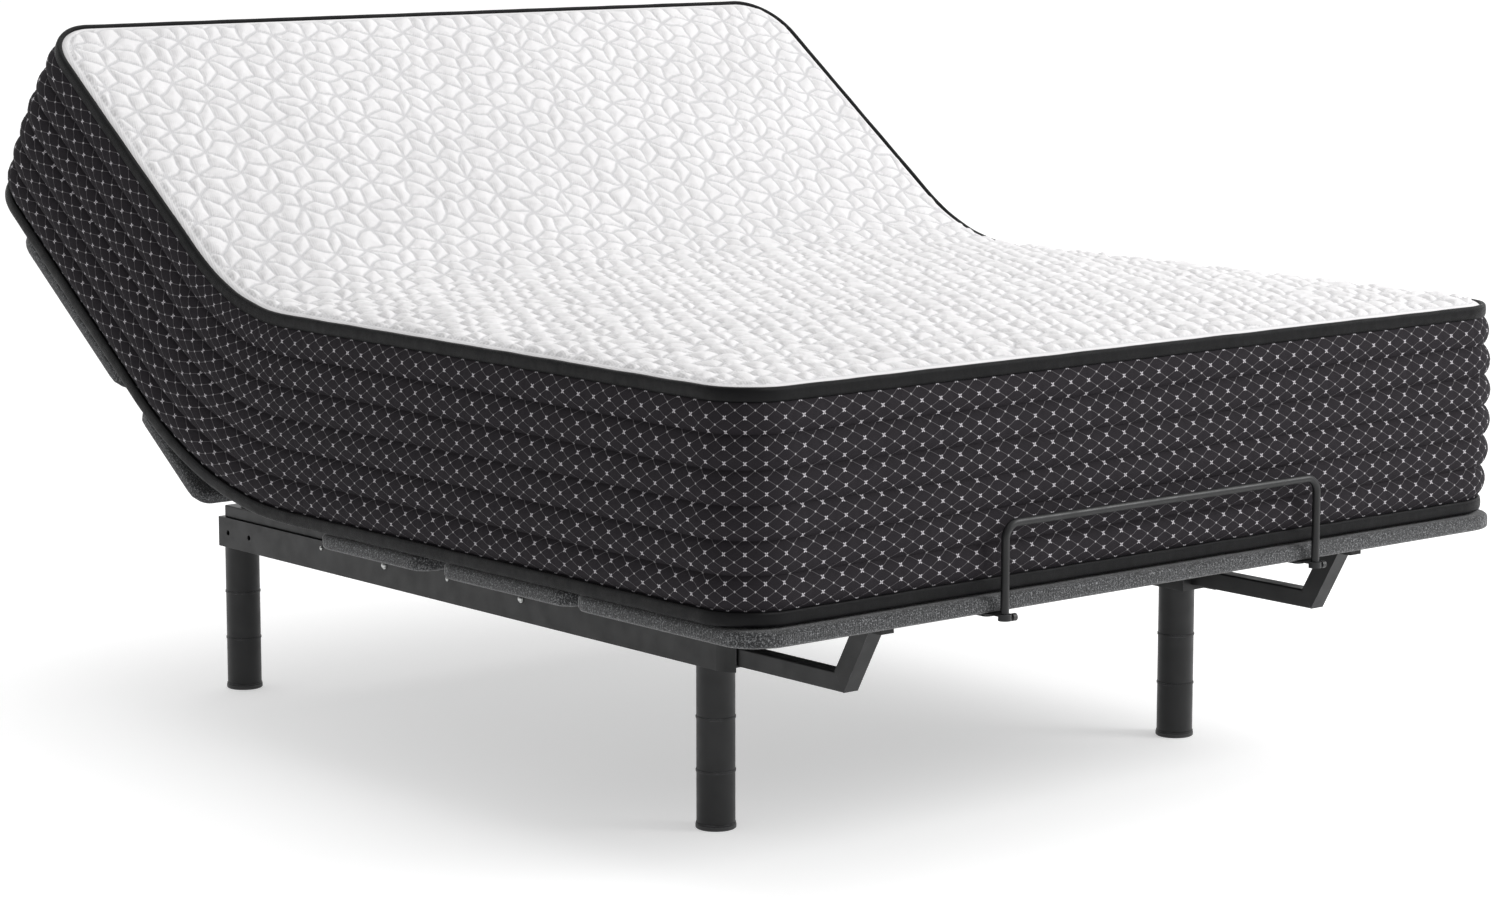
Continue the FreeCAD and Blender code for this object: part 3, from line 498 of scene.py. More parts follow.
# ---- border and bindings
def border_path(name, step):
    """Plan path of one section's outer wall: points, outward directions and length from the middle
    of the foot face. An end section has one path round its corners; the others have two sides."""
    low, high = SPANS[name]
    side_low = FOOT_END + CORNER if name == "foot" else low
    side_high = HEAD_END - CORNER if name == "head" else high
    side_y = rows((side_low, side_high), SIDE_ARC, step)
    corner_length = CORNER * math.pi / 2
    face_half = HALF_WIDTH - CORNER
    start = face_half + corner_length
    side_s = start + np.interp(side_y, *SIDE_ARC) - np.interp(FOOT_END + CORNER, *SIDE_ARC)
    side = np.stack([np.full_like(side_y, HALF_WIDTH), side_y], axis=1)
    side_out = np.repeat([[1.0, 0.0]], len(side_y), axis=0)
    if name not in ("foot", "head"):
        return side, side_out, side_s
    turns = max(6, round(corner_length / step))
    angles = np.linspace(0, math.pi / 2, turns + 1)[1:]
    centre_y = FOOT_END + CORNER if name == "foot" else HEAD_END - CORNER
    sign = -1.0 if name == "foot" else 1.0
    arc_out = np.stack([np.cos(angles), sign * np.sin(angles)], axis=1)
    arc = np.array([face_half, centre_y]) + CORNER * arc_out
    face_x = np.linspace(face_half, 0, max(8, round(face_half / step)) + 1)[1:]
    face = np.stack([face_x, np.full_like(face_x, arc[-1, 1])], axis=1)
    face_out = np.repeat([[0.0, sign]], len(face_x), axis=0)
    run = np.concatenate([CORNER * angles, corner_length + face_half - face_x])
    if name == "foot":
        side, side_out, side_s = side[::-1], side_out[::-1], side_s[::-1]
        run = start - run
    else:
        run = side_s[-1] + run
    path = np.concatenate([side, arc, face])
    return path, np.concatenate([side_out, arc_out, face_out]), np.concatenate([side_s, run])


def printed_length(s):
    """Length along the border's print, which is pulled tighter round the foot corners."""
    return s + 0.45 * np.clip(s - (HALF_WIDTH - CORNER), 0, CORNER * math.pi / 2)


def lifted(z, y):
    """Heights of the border's points, its underside raised a little where the thigh section folds it."""
    fold, reach, rise, fade = along_deck(0.611), 90 * MM, 4.5 * MM, 40 * MM
    near_fold = smooth(1 - np.abs(y - fold) / reach)
    return z + rise * near_fold * np.clip(1 - (z - BASE) / fade, 0, 1)


def channel_levels():
    """Heights of the border's points, from the lower binding to the upper one."""
    seams = np.linspace(CHANNEL_FOOT, CHANNEL_HEAD, CHANNELS + 1)
    inside = (1 - np.cos(np.linspace(0, math.pi, 11))) / 2
    levels = [BASE, BASE + 4 * MM, BASE + 12 * MM]
    for low, high in zip(seams[:-1], seams[1:]):
        levels.extend(low + (high - low) * inside[:-1])
    return np.array([*levels, CHANNEL_HEAD, PIPING_Z])


BORDER_REPEAT = 0.52  # the wrinkles of the border repeat after this length
BORDER_GRID = grid_counts(BORDER_REPEAT, CHANNEL_HEAD - CHANNEL_FOOT, 3.2 * MM)


def blown_border():
    """A length of the border, blown up as cloth sewn down between its channels, with a top of 1."""
    column_count, row_count = BORDER_GRID
    row_count = row_count // CHANNELS * CHANNELS
    columns = np.arange(column_count + SWATCH_MARGIN) * BORDER_REPEAT / column_count
    lines = np.linspace(0, CHANNEL_HEAD - CHANNEL_FOOT, row_count + 1)
    x, y = np.meshgrid(columns, lines)
    sewn = np.zeros(x.shape, dtype=bool)
    sewn[::row_count // CHANNELS] = True
    sewn[:, [0, -1]] = True
    heights = repeating(blown(x, y, sewn, 0.07), 1)
    return np.clip(heights / np.percentile(heights, 90), 0, 1.2)


def border_bulge(s, z):
    """How far the quilted border stands out at each place."""
    t = (z - CHANNEL_FOOT) / (CHANNEL_HEAD - CHANNEL_FOOT) * CHANNELS
    channel = np.clip(np.floor(t), 0, CHANNELS - 1)
    inside = np.clip(t - channel, 0, 1)
    pillow = np.sin(np.pi * inside) ** 0.55
    quilted = np.where((t < 0) | (t > CHANNELS), 0.0, pillow)
    belly = BELLY * np.sin(np.pi * np.clip(t / CHANNELS, 0, 1)) ** 0.8
    fullness = 1 + 0.13 * soft_noise(s, channel * 0.31, 0.24, 11)
    seam = np.exp(-np.minimum(inside, 1 - inside) * 6)
    pucker = soft_noise(s, channel * 0.17, 0.034, 23) * seam * np.clip(pillow, 0, 1)
    crease = np.exp(-np.minimum(inside, 1 - inside) * 22) * ((t > 0.5) & (t < CHANNELS - 0.5))
    belly -= 1 * MM * crease
    column = s / BORDER_REPEAT * BORDER_GRID[0]
    line = np.clip(t / CHANNELS, 0, 1) * (len(WRINKLES) - 1)
    wrinkled = sampled(WRINKLES, column, np.minimum(line, len(WRINKLES) - 1.001))
    return belly + CHANNEL_DEPTH * (0.35 * quilted * fullness + 0.65 * wrinkled) + 0.8 * MM * pucker


def mirrored_path(path, out, s):
    """The right half of a path, then the left half back again, as one path round an end."""
    left = path[::-1][1:] * [-1, 1]
    left_out = out[::-1][1:] * [-1, 1]
    return (np.concatenate([path, left]), np.concatenate([out, left_out]), np.concatenate([s, s[::-1][1:]]))


def section_sides(name):
    """The outer walls of a section: one path round an end, or the right one and the left one."""
    path, out, s = border_path(name, BORDER_STEP)
    if name in ("foot", "head"):
        return [mirrored_path(path, out, s)]
    return [(path, out, s), (path * [-1, 1], out * [-1, 1], s)]


def border_piece(section, printed, plain):
    """One section of the border with the foam inside it: closed, with six sewn channels."""
    name = section[0]
    levels = channel_levels()
    level_count = len(levels)
    sides = section_sides(name)
    path, out, _ = sides[0]
    ends = len(sides) == 1
    points, cloth, faces, normals = [], [], [], []
    for side_path, side_out, side_s in sides:
        offset = sum(len(p) for p in points)
        place = np.repeat(extended(side_path), level_count, axis=0)
        z = lifted(np.tile(levels, len(side_path) + 2), place[:, 1])
        direction = np.repeat(extended(side_out), level_count, axis=0)
        length = np.repeat(extended(side_s), level_count)
        shifted = place + direction * border_bulge(length, z)[:, None]
        wall = np.column_stack([shifted, z])
        out_side = np.column_stack([direction, np.zeros_like(z)]).reshape(-1, level_count, 3)[1:-1]
        normals.append(grid_normals(bent(wall).reshape(-1, level_count, 3), out_side))
        points.append(wall[level_count:-level_count])
        along = np.column_stack([printed_length(length), z - BASE, np.zeros_like(z)])
        cloth.append(along[level_count:-level_count])
        faces += grid_faces(len(side_path), level_count, offset)
    flat_points = np.concatenate(points)
    printed_count = len(faces)
    total = len(path)

    def at(k, level, side=0):
        return side * total * level_count + k * level_count + level

    if ends:
        side_count = int(np.count_nonzero(np.abs(out[:, 1]) < 0.9))
        pairs = [(k, total - 1 - k) for k in range(side_count // 2)]
        face_run = range(side_count // 2 - 1, total - side_count // 2 + 1)
    else:
        pairs = [(k, k) for k in range(total)]
    other = 0 if ends else 1
    for level in (0, level_count - 1):
        for (a, b), (c, d) in zip(pairs[:-1], pairs[1:]):
            faces.append([at(a, level), at(c, level), at(d, level, other), at(b, level, other)])
        if ends:
            faces.append([at(k, level) for k in face_run])
    caps = [0] if ends else [0, total - 1]
    for k in caps:
        right = [at(k, level) for level in range(level_count)]
        left = [at(total - 1 - k if ends else k, level, other) for level in range(level_count)]
        faces.append(right + left[::-1])
    materials = np.array([0] * printed_count + [1] * (len(faces) - printed_count), dtype=np.int32)
    piece = new_mesh(f"border_{name}", bent(flat_points), faces, [printed, plain], materials,
                     range(printed_count, len(faces)))
    outward(piece)
    shade_with(piece, np.concatenate(normals), len(flat_points))
    store_cloth(piece, np.concatenate(cloth))
    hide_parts(*STANDS_FOR[name])
    bend_with(piece)


TAPE_HEIGHT = 21 * MM
TAPE_OUT = 2.5 * MM  # how far the middle of the tape stands off the seams


def binding_profile(height, thickness):
    """Cross-section of a folded tape: outward distance and height, once round."""
    angles = np.linspace(0, math.tau, 15)[:-1]
    outward_part = np.sign(np.cos(angles)) * np.abs(np.cos(angles)) ** 0.7 * thickness / 2
    up_part = np.sign(np.sin(angles)) * np.abs(np.sin(angles)) ** 0.8 * height / 2
    return outward_part, up_part


def binding_piece(section, label, centre_z, thickness, tape):
    """One section of the tape that covers the seam between the border and a face."""
    name = section[0]
    across, up = binding_profile(TAPE_HEIGHT, thickness)
    ring = len(across)
    points, cloth, faces, normals = [], [], [], []
    caps = []
    for side_path, side_out, side_s in section_sides(name):
        offset = sum(len(p) for p in points)
        s_lines = extended(side_s)
        wander = 0.6 * MM * soft_noise(s_lines, s_lines * 0, 0.12, 31)
        place = np.repeat(extended(side_path), ring, axis=0)
        direction = np.repeat(extended(side_out), ring, axis=0)
        stand = np.tile(across, len(s_lines)) + TAPE_OUT
        z = np.tile(up, len(s_lines)) + centre_z + np.repeat(wander, ring)
        hose = np.column_stack([place + direction * stand[:, None], z])
        core = bent(np.column_stack([place + direction * TAPE_OUT, np.full_like(z, centre_z)]))
        out_side = (bent(hose) - core).reshape(-1, ring, 3)[1:-1]
        normals.append(grid_normals(bent(hose).reshape(-1, ring, 3), out_side, closed=True))
        points.append(hose[ring:-ring])
        cloth.append(np.column_stack([np.repeat(s_lines, ring), z, stand])[ring:-ring])
        for k in range(len(side_path) - 1):
            for j in range(ring):
                low, high = offset + k * ring, offset + (k + 1) * ring
                following = (j + 1) % ring
                faces.append([low + j, high + j, high + following, low + following])
        caps.append([offset + j for j in range(ring)])
        caps.append([offset + (len(side_path) - 1) * ring + j for j in range(ring)][::-1])
    flat_points = np.concatenate(points)
    piece = new_mesh(f"{label}_{name}", bent(flat_points), faces + caps, [tape],
                     flat_faces=range(len(faces), len(faces) + len(caps)))
    outward(piece)
    shade_with(piece, np.concatenate(normals), len(flat_points))
    store_cloth(piece, np.concatenate(cloth))
    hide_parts(*STANDS_FOR[name])
    bend_with(piece)


# ---- deck panels
PANEL_NODES = {
    # node: half width, foot end, head end, corner radius at the foot and at the head, body
    "foot_panel": (HALF_DECK, 0.0, 0.393, 0.062, 0.030, "foot_section"),
    "thigh_panel": (HALF_DECK, 0.400, 0.713, 0.030, 0.030, "thigh_section"),
    "seat_panel": (HALF_DECK, 0.750, 1.029, 0.030, 0.030, "root"),
    "lumbar_panel": (0.470, 1.042, 1.320, 0.020, 0.020, "root"),
    "head_lower_panel": (0.758, 1.390, 1.612, 0.030, 0.030, "head_section"),
    "head_upper_panel": (HALF_DECK, 1.664, 2.065, 0.030, 0.062, "head_section"),
}


def panel_lines(low, high, edge, step):
    """Grid lines across a panel: close together over the rounded edges, wider between them."""
    near = edge * (1 - np.cos(np.linspace(0, math.pi / 2, 7)))
    middle = np.linspace(low + edge, high - edge, max(4, round((high - low - 2 * edge) / step)))
    return np.concatenate([low + near[:-1], middle, (high - near[:-1])[::-1]])


def deck_panel(node, cover):
    """Padded board in its cloth cover: rounded edges, a slight crown and a little slackness."""
    half_width, foot, head, radius_foot, radius_head, body = PANEL_NODES[node]
    low, high = along_deck(foot), along_deck(head)
    edge = 9 * MM
    y_lines = panel_lines(low, high, edge, 12 * MM)
    share = panel_lines(-1.0, 1.0, edge / half_width, 16 * MM)
    half = half_width_at(y_lines, low, high, half_width, radius_foot, radius_head)
    x = (half[:, None] * share[None, :]).ravel()
    y = np.repeat(y_lines, len(share))
    d = edge_distance(x, y, low, high, half_width, radius_foot, radius_head)
    drop = edge - np.sqrt(np.clip(edge**2 - (edge - np.clip(d, 0, edge)) ** 2, 0, None))
    slack = 0.5 * MM * soft_noise(x, y, 0.16, 41) * smooth(d / (30 * MM))
    crown = 0.8 * MM * smooth(d / (70 * MM))
    upper_z = PANEL_TOP - 0.9 * MM - 0.95 * drop + crown + 0.5 * slack
    lower_z = PANEL_BOTTOM + 0.1 * MM + 0.75 * drop
    upper = np.stack([x, y, upper_z], axis=1)
    lower = np.stack([x, y, lower_z], axis=1)
    count, width = len(y_lines), len(share)
    faces = grid_faces(count, width)
    below = count * width
    lower_faces = [face[::-1] for face in grid_faces(count, width, below)]
    rim = [*range(width), *range(2 * width - 1, below, width)]
    rim += [*range(below - 2, below - width - 1, -1), *range(below - 2 * width, 0, -width)]
    sides = [[a, a + below, b + below, b] for a, b in zip(rim, rim[1:] + rim[:1])]
    flat_points = np.concatenate([upper, lower])
    points = flat_points.copy()
    if body == "head_section":
        lift = math.radians(HEAD_REST)
        points[:, 1], points[:, 2] = turned(points[:, 1], points[:, 2], HEAD_PIVOT[1:], lift)
    piece = new_mesh(f"{node}_upholstered", points, faces + lower_faces + sides, [cover])
    outward(piece)
    store_cloth(piece, flat_points)
    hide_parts(node)
    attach(piece, body)


# ---- materials
class Graph:
    """A material's node tree with a Principled shader, and short calls to add nodes to it."""

    def __init__(self, name, color, roughness, **constants):
        self.material = bpy.data.materials.new(name)
        self.material.use_nodes = True
        self.tree = self.material.node_tree
        self.shader = self.tree.nodes["Principled BSDF"]
        self.shader.inputs["Base Color"].default_value = (*color, 1)
        self.shader.inputs["Roughness"].default_value = roughness
        for socket, value in constants.items():
            self.shader.inputs[socket.replace("_", " ")].default_value = value
        self.material.diffuse_color = (*color, 1)

    def node(self, kind, inputs=None, **settings):
        made = self.tree.nodes.new(kind)
        for key, value in settings.items():
            setattr(made, key, value)
        for key, value in (inputs or {}).items():
            self.feed(made.inputs[key], value)
        return made

    def feed(self, socket, value):
        if isinstance(value, bpy.types.NodeSocket):
            self.tree.links.new(value, socket)
        else:
            socket.default_value = value

    def math(self, operation, first, second=0.0, third=0.0):
        return self.node("ShaderNodeMath", {0: first, 1: second, 2: third}, operation=operation).outputs[0]

    def times(self, first, second):
        return self.math("MULTIPLY", first, second)

    def cloth(self):
        """The flat cloth coordinates of a soft piece."""
        return self.node("ShaderNodeAttribute", attribute_name="cloth").outputs["Vector"]

    def axes(self, vector):
        """The x, y and z of a vector."""
        return self.node("ShaderNodeSeparateXYZ", {0: vector}).outputs

    def stretched(self, vector, scale):
        return self.node("ShaderNodeMapping", {"Vector": vector, "Scale": scale}).outputs["Vector"]

    def solid(self):
        """The coordinates of the body that a rigid piece belongs to."""
        return self.node("ShaderNodeTexCoord").outputs["Object"]

    def noise(self, vector, scale, detail=2.0, roughness=0.5):
        inputs = {"Vector": vector, "Scale": scale, "Detail": detail, "Roughness": roughness}
        return self.node("ShaderNodeTexNoise", inputs).outputs["Fac"]

    def ramp(self, value, *stops):
        made = self.node("ShaderNodeValToRGB", {"Fac": value})
        elements = made.color_ramp.elements
        while len(elements) < len(stops):
            elements.new(0.5)
        for element, (position, color) in zip(elements, stops):
            element.position = position
            element.color = (*color, 1)
        return made.outputs["Color"]

    def mix(self, factor, first, second, blend="MIX"):
        made = self.node("ShaderNodeMix", {"Factor": factor}, data_type="RGBA", blend_type=blend)
        colours = [socket for socket in made.inputs if socket.type == "RGBA"]
        self.feed(colours[0], first)
        self.feed(colours[1], second)
        return [socket for socket in made.outputs if socket.type == "RGBA"][0]

    def map_range(self, value, low, high, to_low, to_high):
        inputs = {"Value": value, "From Min": low, "From Max": high, "To Min": to_low, "To Max": to_high}
        return self.node("ShaderNodeMapRange", inputs).outputs["Result"]

    def bump(self, height, distance, strength):
        inputs = {"Height": height, "Distance": distance, "Strength": strength}
        return self.node("ShaderNodeBump", inputs).outputs["Normal"]

    def set(self, **sockets):
        for socket, value in sockets.items():
            self.feed(self.shader.inputs[socket.replace("_", " ")], value)
        return self.material


def edge_wear(graph, radius):
    """1 on sharp edges and 0 on faces."""
    bevel = graph.node("ShaderNodeBevel", {"Radius": radius}, samples=4).outputs["Normal"]
    true = graph.node("ShaderNodeNewGeometry").outputs["Normal"]
    both = graph.node("ShaderNodeVectorMath", {0: bevel, 1: true}, operation="DOT_PRODUCT").outputs["Value"]
    return graph.map_range(both, 0.97, 0.80, 0.0, 1.0)


def painted(name, color, roughness, worn):
    """Powder-coated steel: fine orange peel, uneven gloss, slightly rubbed edges."""
    graph = Graph(name, color, roughness, Specular_IOR_Level=0.38)
    place = graph.solid()
    cloud = graph.noise(place, 9.0, 4.0)
    peel = graph.noise(place, 1400.0, 1.0)
    dark, light = [tuple(share * c for c in color) for share in (0.80, 1.18)]
    body = graph.ramp(cloud, (0.3, dark), (0.7, light))
    wear = edge_wear(graph, 0.0012)
    spots = graph.map_range(graph.noise(place, 60.0, 3.0), 0.42, 0.62, 0.0, 0.75)
    colour = graph.mix(graph.times(wear, spots), body, (*worn, 1))
    gloss = graph.map_range(graph.noise(place, 34.0, 3.0), 0.3, 0.7, roughness - 0.07, roughness + 0.08)
    return graph.set(Base_Color=colour, Roughness=gloss, Normal=graph.bump(peel, 0.00012, 0.5))


def metal(name, color, roughness, stretch):
    """Bare metal with the faint lines that drawing or turning leaves."""
    graph = Graph(name, color, roughness, Metallic=1.0)
    place = graph.solid()
    drawn = graph.stretched(place, stretch)
    lines = graph.noise(drawn, 240.0, 3.0)
    cloud = graph.noise(place, 26.0, 3.0)
    colour = graph.ramp(cloud, (0.3, tuple(0.82 * c for c in color)), (0.7, color))
    gloss = graph.map_range(lines, 0.3, 0.7, roughness - 0.06, roughness + 0.10)
    return graph.set(Base_Color=colour, Roughness=gloss, Normal=graph.bump(lines, 0.00005, 0.4))


def moulded(name, color, roughness, texture_scale, depth):
    """Moulded plastic or rubber with a fine etched texture."""
    graph = Graph(name, color, roughness)
    place = graph.solid()
    pits = graph.node("ShaderNodeTexVoronoi", {"Vector": place, "Scale": texture_scale})
    etched = pits.outputs["Distance"]
    cloud = graph.noise(place, 14.0, 3.0)
    colour = graph.ramp(cloud, (0.3, tuple(0.85 * c for c in color)), (0.7, tuple(1.12 * c for c in color)))
    wear = edge_wear(graph, 0.001)
    colour = graph.mix(graph.times(wear, 0.25), colour, (0.16, 0.16, 0.165, 1))
    gloss = graph.map_range(cloud, 0.3, 0.7, roughness - 0.05, roughness + 0.07)
    return graph.set(Base_Color=colour, Roughness=gloss, Normal=graph.bump(etched, depth, 0.5))


def threads(graph, place, pitch):
    """Height of a plain weave with the given pitch between threads."""
    axes = graph.axes(place)
    turns = math.tau / pitch / 2
    warp = graph.math("SINE", graph.times(axes["X"], turns))
    weft = graph.math("SINE", graph.times(axes["Y"], turns))
    return graph.math("MULTIPLY_ADD", graph.times(warp, weft), 0.5, 0.5)


def deck_cloth():
    """Charcoal heather: dark and light yarns mixed, in a coarse plain weave."""
    graph = Graph("deck_cloth", (0.045, 0.046, 0.049), 0.88, Sheen_Weight=0.25, Sheen_Roughness=0.5)
    place = graph.cloth()
    weave = threads(graph, place, 1.6 * MM)
    yarn = graph.noise(place, 420.0, 2.0, 0.7)
    tone = graph.noise(place, 190.0, 3.0, 0.7)
    cloud = graph.noise(place, 7.0, 3.0)
    heather = graph.ramp(
        yarn, (0.40, (0.009, 0.0095, 0.011)), (0.52, (0.034, 0.0355, 0.038)), (0.64, (0.190, 0.193, 0.198)))
    mottled = graph.ramp(tone, (0.38, (0.45, 0.45, 0.45)), (0.64, (1.3, 1.3, 1.3)))
    colour = graph.mix(1.0, heather, mottled, "MULTIPLY")
    worn = graph.ramp(cloud, (0.3, (0.88, 0.88, 0.88)), (0.7, (1.1, 1.1, 1.1)))
    colour = graph.mix(1.0, colour, worn, "MULTIPLY")
    height = graph.math("MULTIPLY_ADD", yarn, 0.9, weave)
    return graph.set(Base_Color=colour, Normal=graph.bump(height, 0.0005, 0.8))


def quilt_cloth():
    """White stretch knit, finely ribbed, with shade painted into its colour: grey in the grooves, the open
    mesh of the knit darker there.
    """
    graph = Graph("quilt_knit", (0.80, 0.80, 0.80), 0.85, Specular_IOR_Level=0.2)
    place = graph.cloth()
    groove = graph.node("ShaderNodeAttribute", attribute_name="groove").outputs["Fac"]
    deep = graph.map_range(groove, 0.10, 0.90, 0.0, 1.0)
    axes = graph.axes(place)
    diagonal = graph.math("ADD", axes["X"], axes["Y"])
    mesh_lines = graph.math("SINE", graph.times(diagonal, math.tau / (3.4 * MM)))
    cross_lines = graph.math("SINE", graph.times(axes["Y"], math.tau / (2.8 * MM)))
    mesh = graph.math("MULTIPLY_ADD", graph.times(mesh_lines, cross_lines), 0.5, 0.5)
    open_mesh = graph.times(mesh, deep)
    cloud = graph.noise(place, 5.0, 3.0)
    white = graph.ramp(cloud, (0.3, (0.69, 0.682, 0.687)), (0.7, (0.74, 0.732, 0.737)))
    # painted shade: the knit is greyed where the groove value is high, in the grooves and on the hem's
    # stitch marks, and its open mesh is darker still there
    shade = graph.mix(graph.times(deep, 0.70), white, (0.55, 0.545, 0.55, 1))
    colour = graph.mix(graph.times(open_mesh, 0.6), shade, (0.42, 0.42, 0.44, 1))
    wrinkle = graph.stretched(place, (1.0, 2.6, 1.0))
    folds = graph.noise(wrinkle, 42.0, 4.0, 0.6)
    knit = threads(graph, place, 1.3 * MM)
    height = graph.math("MULTIPLY_ADD", knit, 0.10, graph.math("MULTIPLY_ADD", mesh, -0.22, folds))
    return graph.set(Base_Color=colour, Normal=graph.bump(height, 0.0022, 0.75))


STAR_PITCH = (35 * MM, 20.2 * MM)


def border_cloth():
    """Near-black knit printed with small stars and dots, joined by thin diagonal lines."""
    graph = Graph("border_knit", (0.014, 0.0125, 0.015), 0.80, Specular_IOR_Level=0.12)
    place = graph.cloth()
    axes = graph.axes(place)
    folded = []
    for axis, pitch in zip("XY", STAR_PITCH):
        wrapped = graph.math("WRAP", graph.math("DIVIDE", axes[axis], pitch), -0.5, 0.5)
        folded.append(graph.math("ABSOLUTE", wrapped))
    a, b = folded
    width_a = graph.times(a, STAR_PITCH[0] / MM)
    width_b = graph.times(b, STAR_PITCH[1] / MM)
    from_line = graph.math("ABSOLUTE", graph.math("SUBTRACT", a, b))
    line = graph.map_range(from_line, 0.010, 0.028, 1.0, 0.0)
    reach = graph.math("MAXIMUM", width_a, width_b)
    arm = graph.math("ABSOLUTE", graph.math("SUBTRACT", width_a, width_b))
    star = graph.times(graph.map_range(reach, 2.4, 3.0, 1.0, 0.0),
                      graph.map_range(arm, 0.9, 1.5, 1.0, 0.0))
    eye = graph.map_range(reach, 0.45, 0.95, 0.0, 1.0)
    far_a = graph.math("SUBTRACT", STAR_PITCH[0] / MM / 2, width_a)
    far_b = graph.math("SUBTRACT", STAR_PITCH[1] / MM / 2, width_b)
    dot = graph.map_range(graph.math("ADD", far_a, far_b), 1.3, 2.2, 1.0, 0.0)
    yarn = graph.noise(place, 1100.0, 2.0, 0.6)
    ground = graph.ramp(yarn, (0.3, (0.0105, 0.0090, 0.0108)), (0.7, (0.0245, 0.0215, 0.0255)))
    printed = graph.mix(graph.times(line, 0.55), ground, (0.20, 0.19, 0.20, 1))
    printed = graph.mix(graph.times(dot, 0.8), printed, (0.50, 0.49, 0.50, 1))
    hollow_star = graph.times(graph.times(star, eye), 0.9)
    printed = graph.mix(hollow_star, printed, (0.60, 0.58, 0.61, 1))
    knit = threads(graph, place, 1.2 * MM)
    raised = graph.math("MULTIPLY_ADD", graph.math("MAXIMUM", star, line), 0.8, knit)
    pucker = graph.noise(place, 55.0, 3.0)
    height = graph.math("MULTIPLY_ADD", pucker, 1.6, raised)
    return graph.set(Base_Color=printed, Normal=graph.bump(height, 0.0006, 0.7))


def lining_cloth():
    """Plain black non-slip cloth of the faces that aren't seen in use."""
    graph = Graph("lining_cloth", (0.012, 0.012, 0.013), 0.9)
    place = graph.cloth()
    yarn = graph.noise(place, 500.0, 2.0)
    tone = graph.ramp(yarn, (0.3, (0.007, 0.007, 0.008)), (0.7, (0.020, 0.020, 0.021)))
    return graph.set(Base_Color=tone, Normal=graph.bump(threads(graph, place, 2.0 * MM), 0.0003, 0.6))


def binding_tape():
    """Satin black tape with fine ribs across it."""
    graph = Graph("binding_tape", (0.004, 0.004, 0.0045), 0.40, Specular_IOR_Level=0.12)
    place = graph.cloth()
    axes = graph.axes(place)
    ribs = graph.math("SINE", graph.times(axes["X"], math.tau / (1.1 * MM)))
    folds = graph.noise(place, 70.0, 3.0)
    cloud = graph.noise(place, 12.0, 3.0)
    tone = graph.ramp(cloud, (0.3, (0.003, 0.003, 0.0035)), (0.7, (0.006, 0.006, 0.0065)))
    gloss = graph.map_range(folds, 0.3, 0.7, 0.34, 0.50)
    height = graph.math("MULTIPLY_ADD", ribs, 0.12, folds)
    return graph.set(Base_Color=tone, Roughness=gloss, Normal=graph.bump(height, 0.0012, 0.6))


FINISHES = {
    "frame_paint": painted("satin_charcoal_paint", (0.0085, 0.0088, 0.0094), 0.42, (0.14, 0.14, 0.15)),
    "motor_paint": painted("motor_enamel", (0.020, 0.021, 0.023), 0.34, (0.20, 0.20, 0.21)),
    "zinc_steel": metal("zinc_plated_steel", (0.62, 0.63, 0.62), 0.30, (1.0, 1.0, 1.0)),
    "tube_aluminium": metal("anodised_aluminium", (0.55, 0.56, 0.58), 0.34, (1.0, 0.06, 1.0)),
    "rod_steel": metal("ground_steel_rod", (0.72, 0.72, 0.73), 0.16, (1.0, 0.05, 1.0)),
    "black_rubber": moulded("black_rubber", (0.014, 0.014, 0.014), 0.72, 900.0, 0.0002),
    "black_plastic": moulded("black_plastic", (0.020, 0.020, 0.021), 0.46, 1500.0, 0.00012),
    "actuator_plastic": moulded("grey_actuator_plastic", (0.060, 0.062, 0.066), 0.50, 1500.0, 0.00012),
}


def finish_cad():
    """Gives every carried-over CAD node the finish of its material slot."""
    for node in frame["nodes"].values():
        for place in node.material_slots:
            wanted = place.material.name.split(".")[0]
            if wanted in FINISHES:
                place.material = FINISHES[wanted]


# ---- stage, lights and camera
def make_camera():
    """Camera at the foot end's left corner, looking slightly down."""
    data = bpy.data.cameras.new("camera")
    data.lens = 97.33  # millimetres, on a sensor 36 mm wide
    data.sensor_width = 36.0
    data.clip_end = 200.0
    camera = bpy.data.objects.new("camera", data)
    downwards, to_the_right = 8.84, 39.71  # degrees
    camera.location = (-4.107, DECK_FOOT - 4.028, 1.449)
    camera.rotation_euler = (math.radians(90 - downwards), 0, math.radians(-to_the_right))
    bpy.context.scene.collection.objects.link(camera)
    bpy.context.scene.camera = camera


def area_light(name, location, target, size, power):
    data = bpy.data.lights.new(name, "AREA")
    data.shape = "DISK"
    data.size = size
    data.energy = power
    light = bpy.data.objects.new(name, data)
    light.location = location
    light.rotation_euler = (Vector(target) - Vector(location)).to_track_quat("-Z", "Y").to_euler()
    bpy.context.scene.collection.objects.link(light)


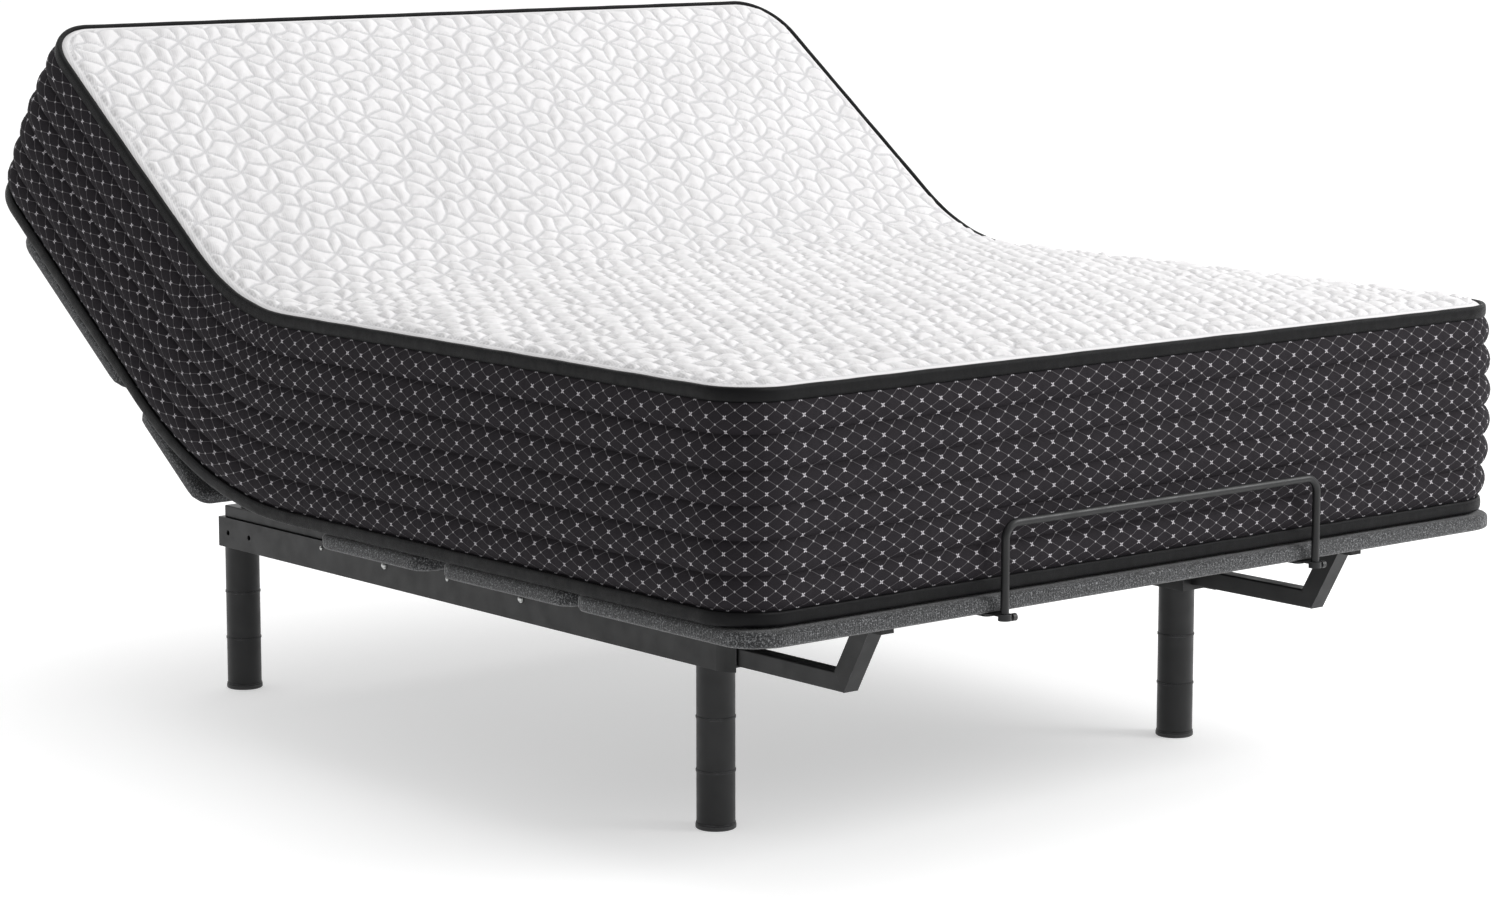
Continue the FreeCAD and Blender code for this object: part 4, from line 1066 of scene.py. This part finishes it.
BRIGHT_SKY = Vector((0.85, 0.15, 0.50)).normalized()  # the side of the studio that is brightest


def make_stage():
    """Plain pale floor under an even white sky, with soft lamps."""
    half = 60.0
    corners = np.array([(-half, -half, 0), (half, -half, 0), (half, half, 0), (-half, half, 0)])
    floor = new_mesh("floor", corners, [[0, 1, 2, 3]], [])
    graph = Graph("pale_floor", (0.74, 0.74, 0.74), 0.9, Specular_IOR_Level=0.1, Emission_Strength=0.47)
    graph.shader.inputs["Emission Color"].default_value = (1, 1, 1, 1)
    floor.data.materials.append(graph.material)
    world = bpy.data.worlds.new("sky")
    world.use_nodes = True
    links, nodes = world.node_tree.links, world.node_tree.nodes
    nodes["Background"].inputs["Color"].default_value = (1, 1, 1, 1)
    direction = nodes.new("ShaderNodeTexCoord").outputs["Generated"]
    toward = nodes.new("ShaderNodeVectorMath")
    toward.operation = "DOT_PRODUCT"
    toward.inputs[1].default_value = BRIGHT_SKY
    spread = nodes.new("ShaderNodeMapRange")
    for socket, value in {"From Min": -1.0, "To Min": 0.16, "To Max": 1.10}.items():
        spread.inputs[socket].default_value = value
    links.new(direction, toward.inputs[0])
    links.new(toward.outputs["Value"], spread.inputs["Value"])
    links.new(spread.outputs["Result"], nodes["Background"].inputs["Strength"])
    bpy.context.scene.world = world
    area_light("key", (3.4, -4.2, 3.4), (0, 0, 0.4), 2.6, 200)
    area_light("top", (-0.6, 0.4, 5.0), (0, 0, 0.5), 3.5, 60)
    bpy.context.scene.view_settings.view_transform = "Standard"


make_camera()
LEAVES = blown_leaves()
WRINKLES = blown_border()
make_stage()
quilt = quilt_cloth()
border = border_cloth()
lining = lining_cloth()
tape = binding_tape()
for section in SECTIONS:
    quilt_piece(section, quilt, lining)
    border_piece(section, border, lining)
    binding_piece(section, "upper_binding", PIPING_Z - 4 * MM, 10 * MM, tape)
    binding_piece(section, "lower_binding", BASE + 11 * MM, 9 * MM, tape)
cover = deck_cloth()
for node in PANEL_NODES:
    deck_panel(node, cover)
finish_cad()
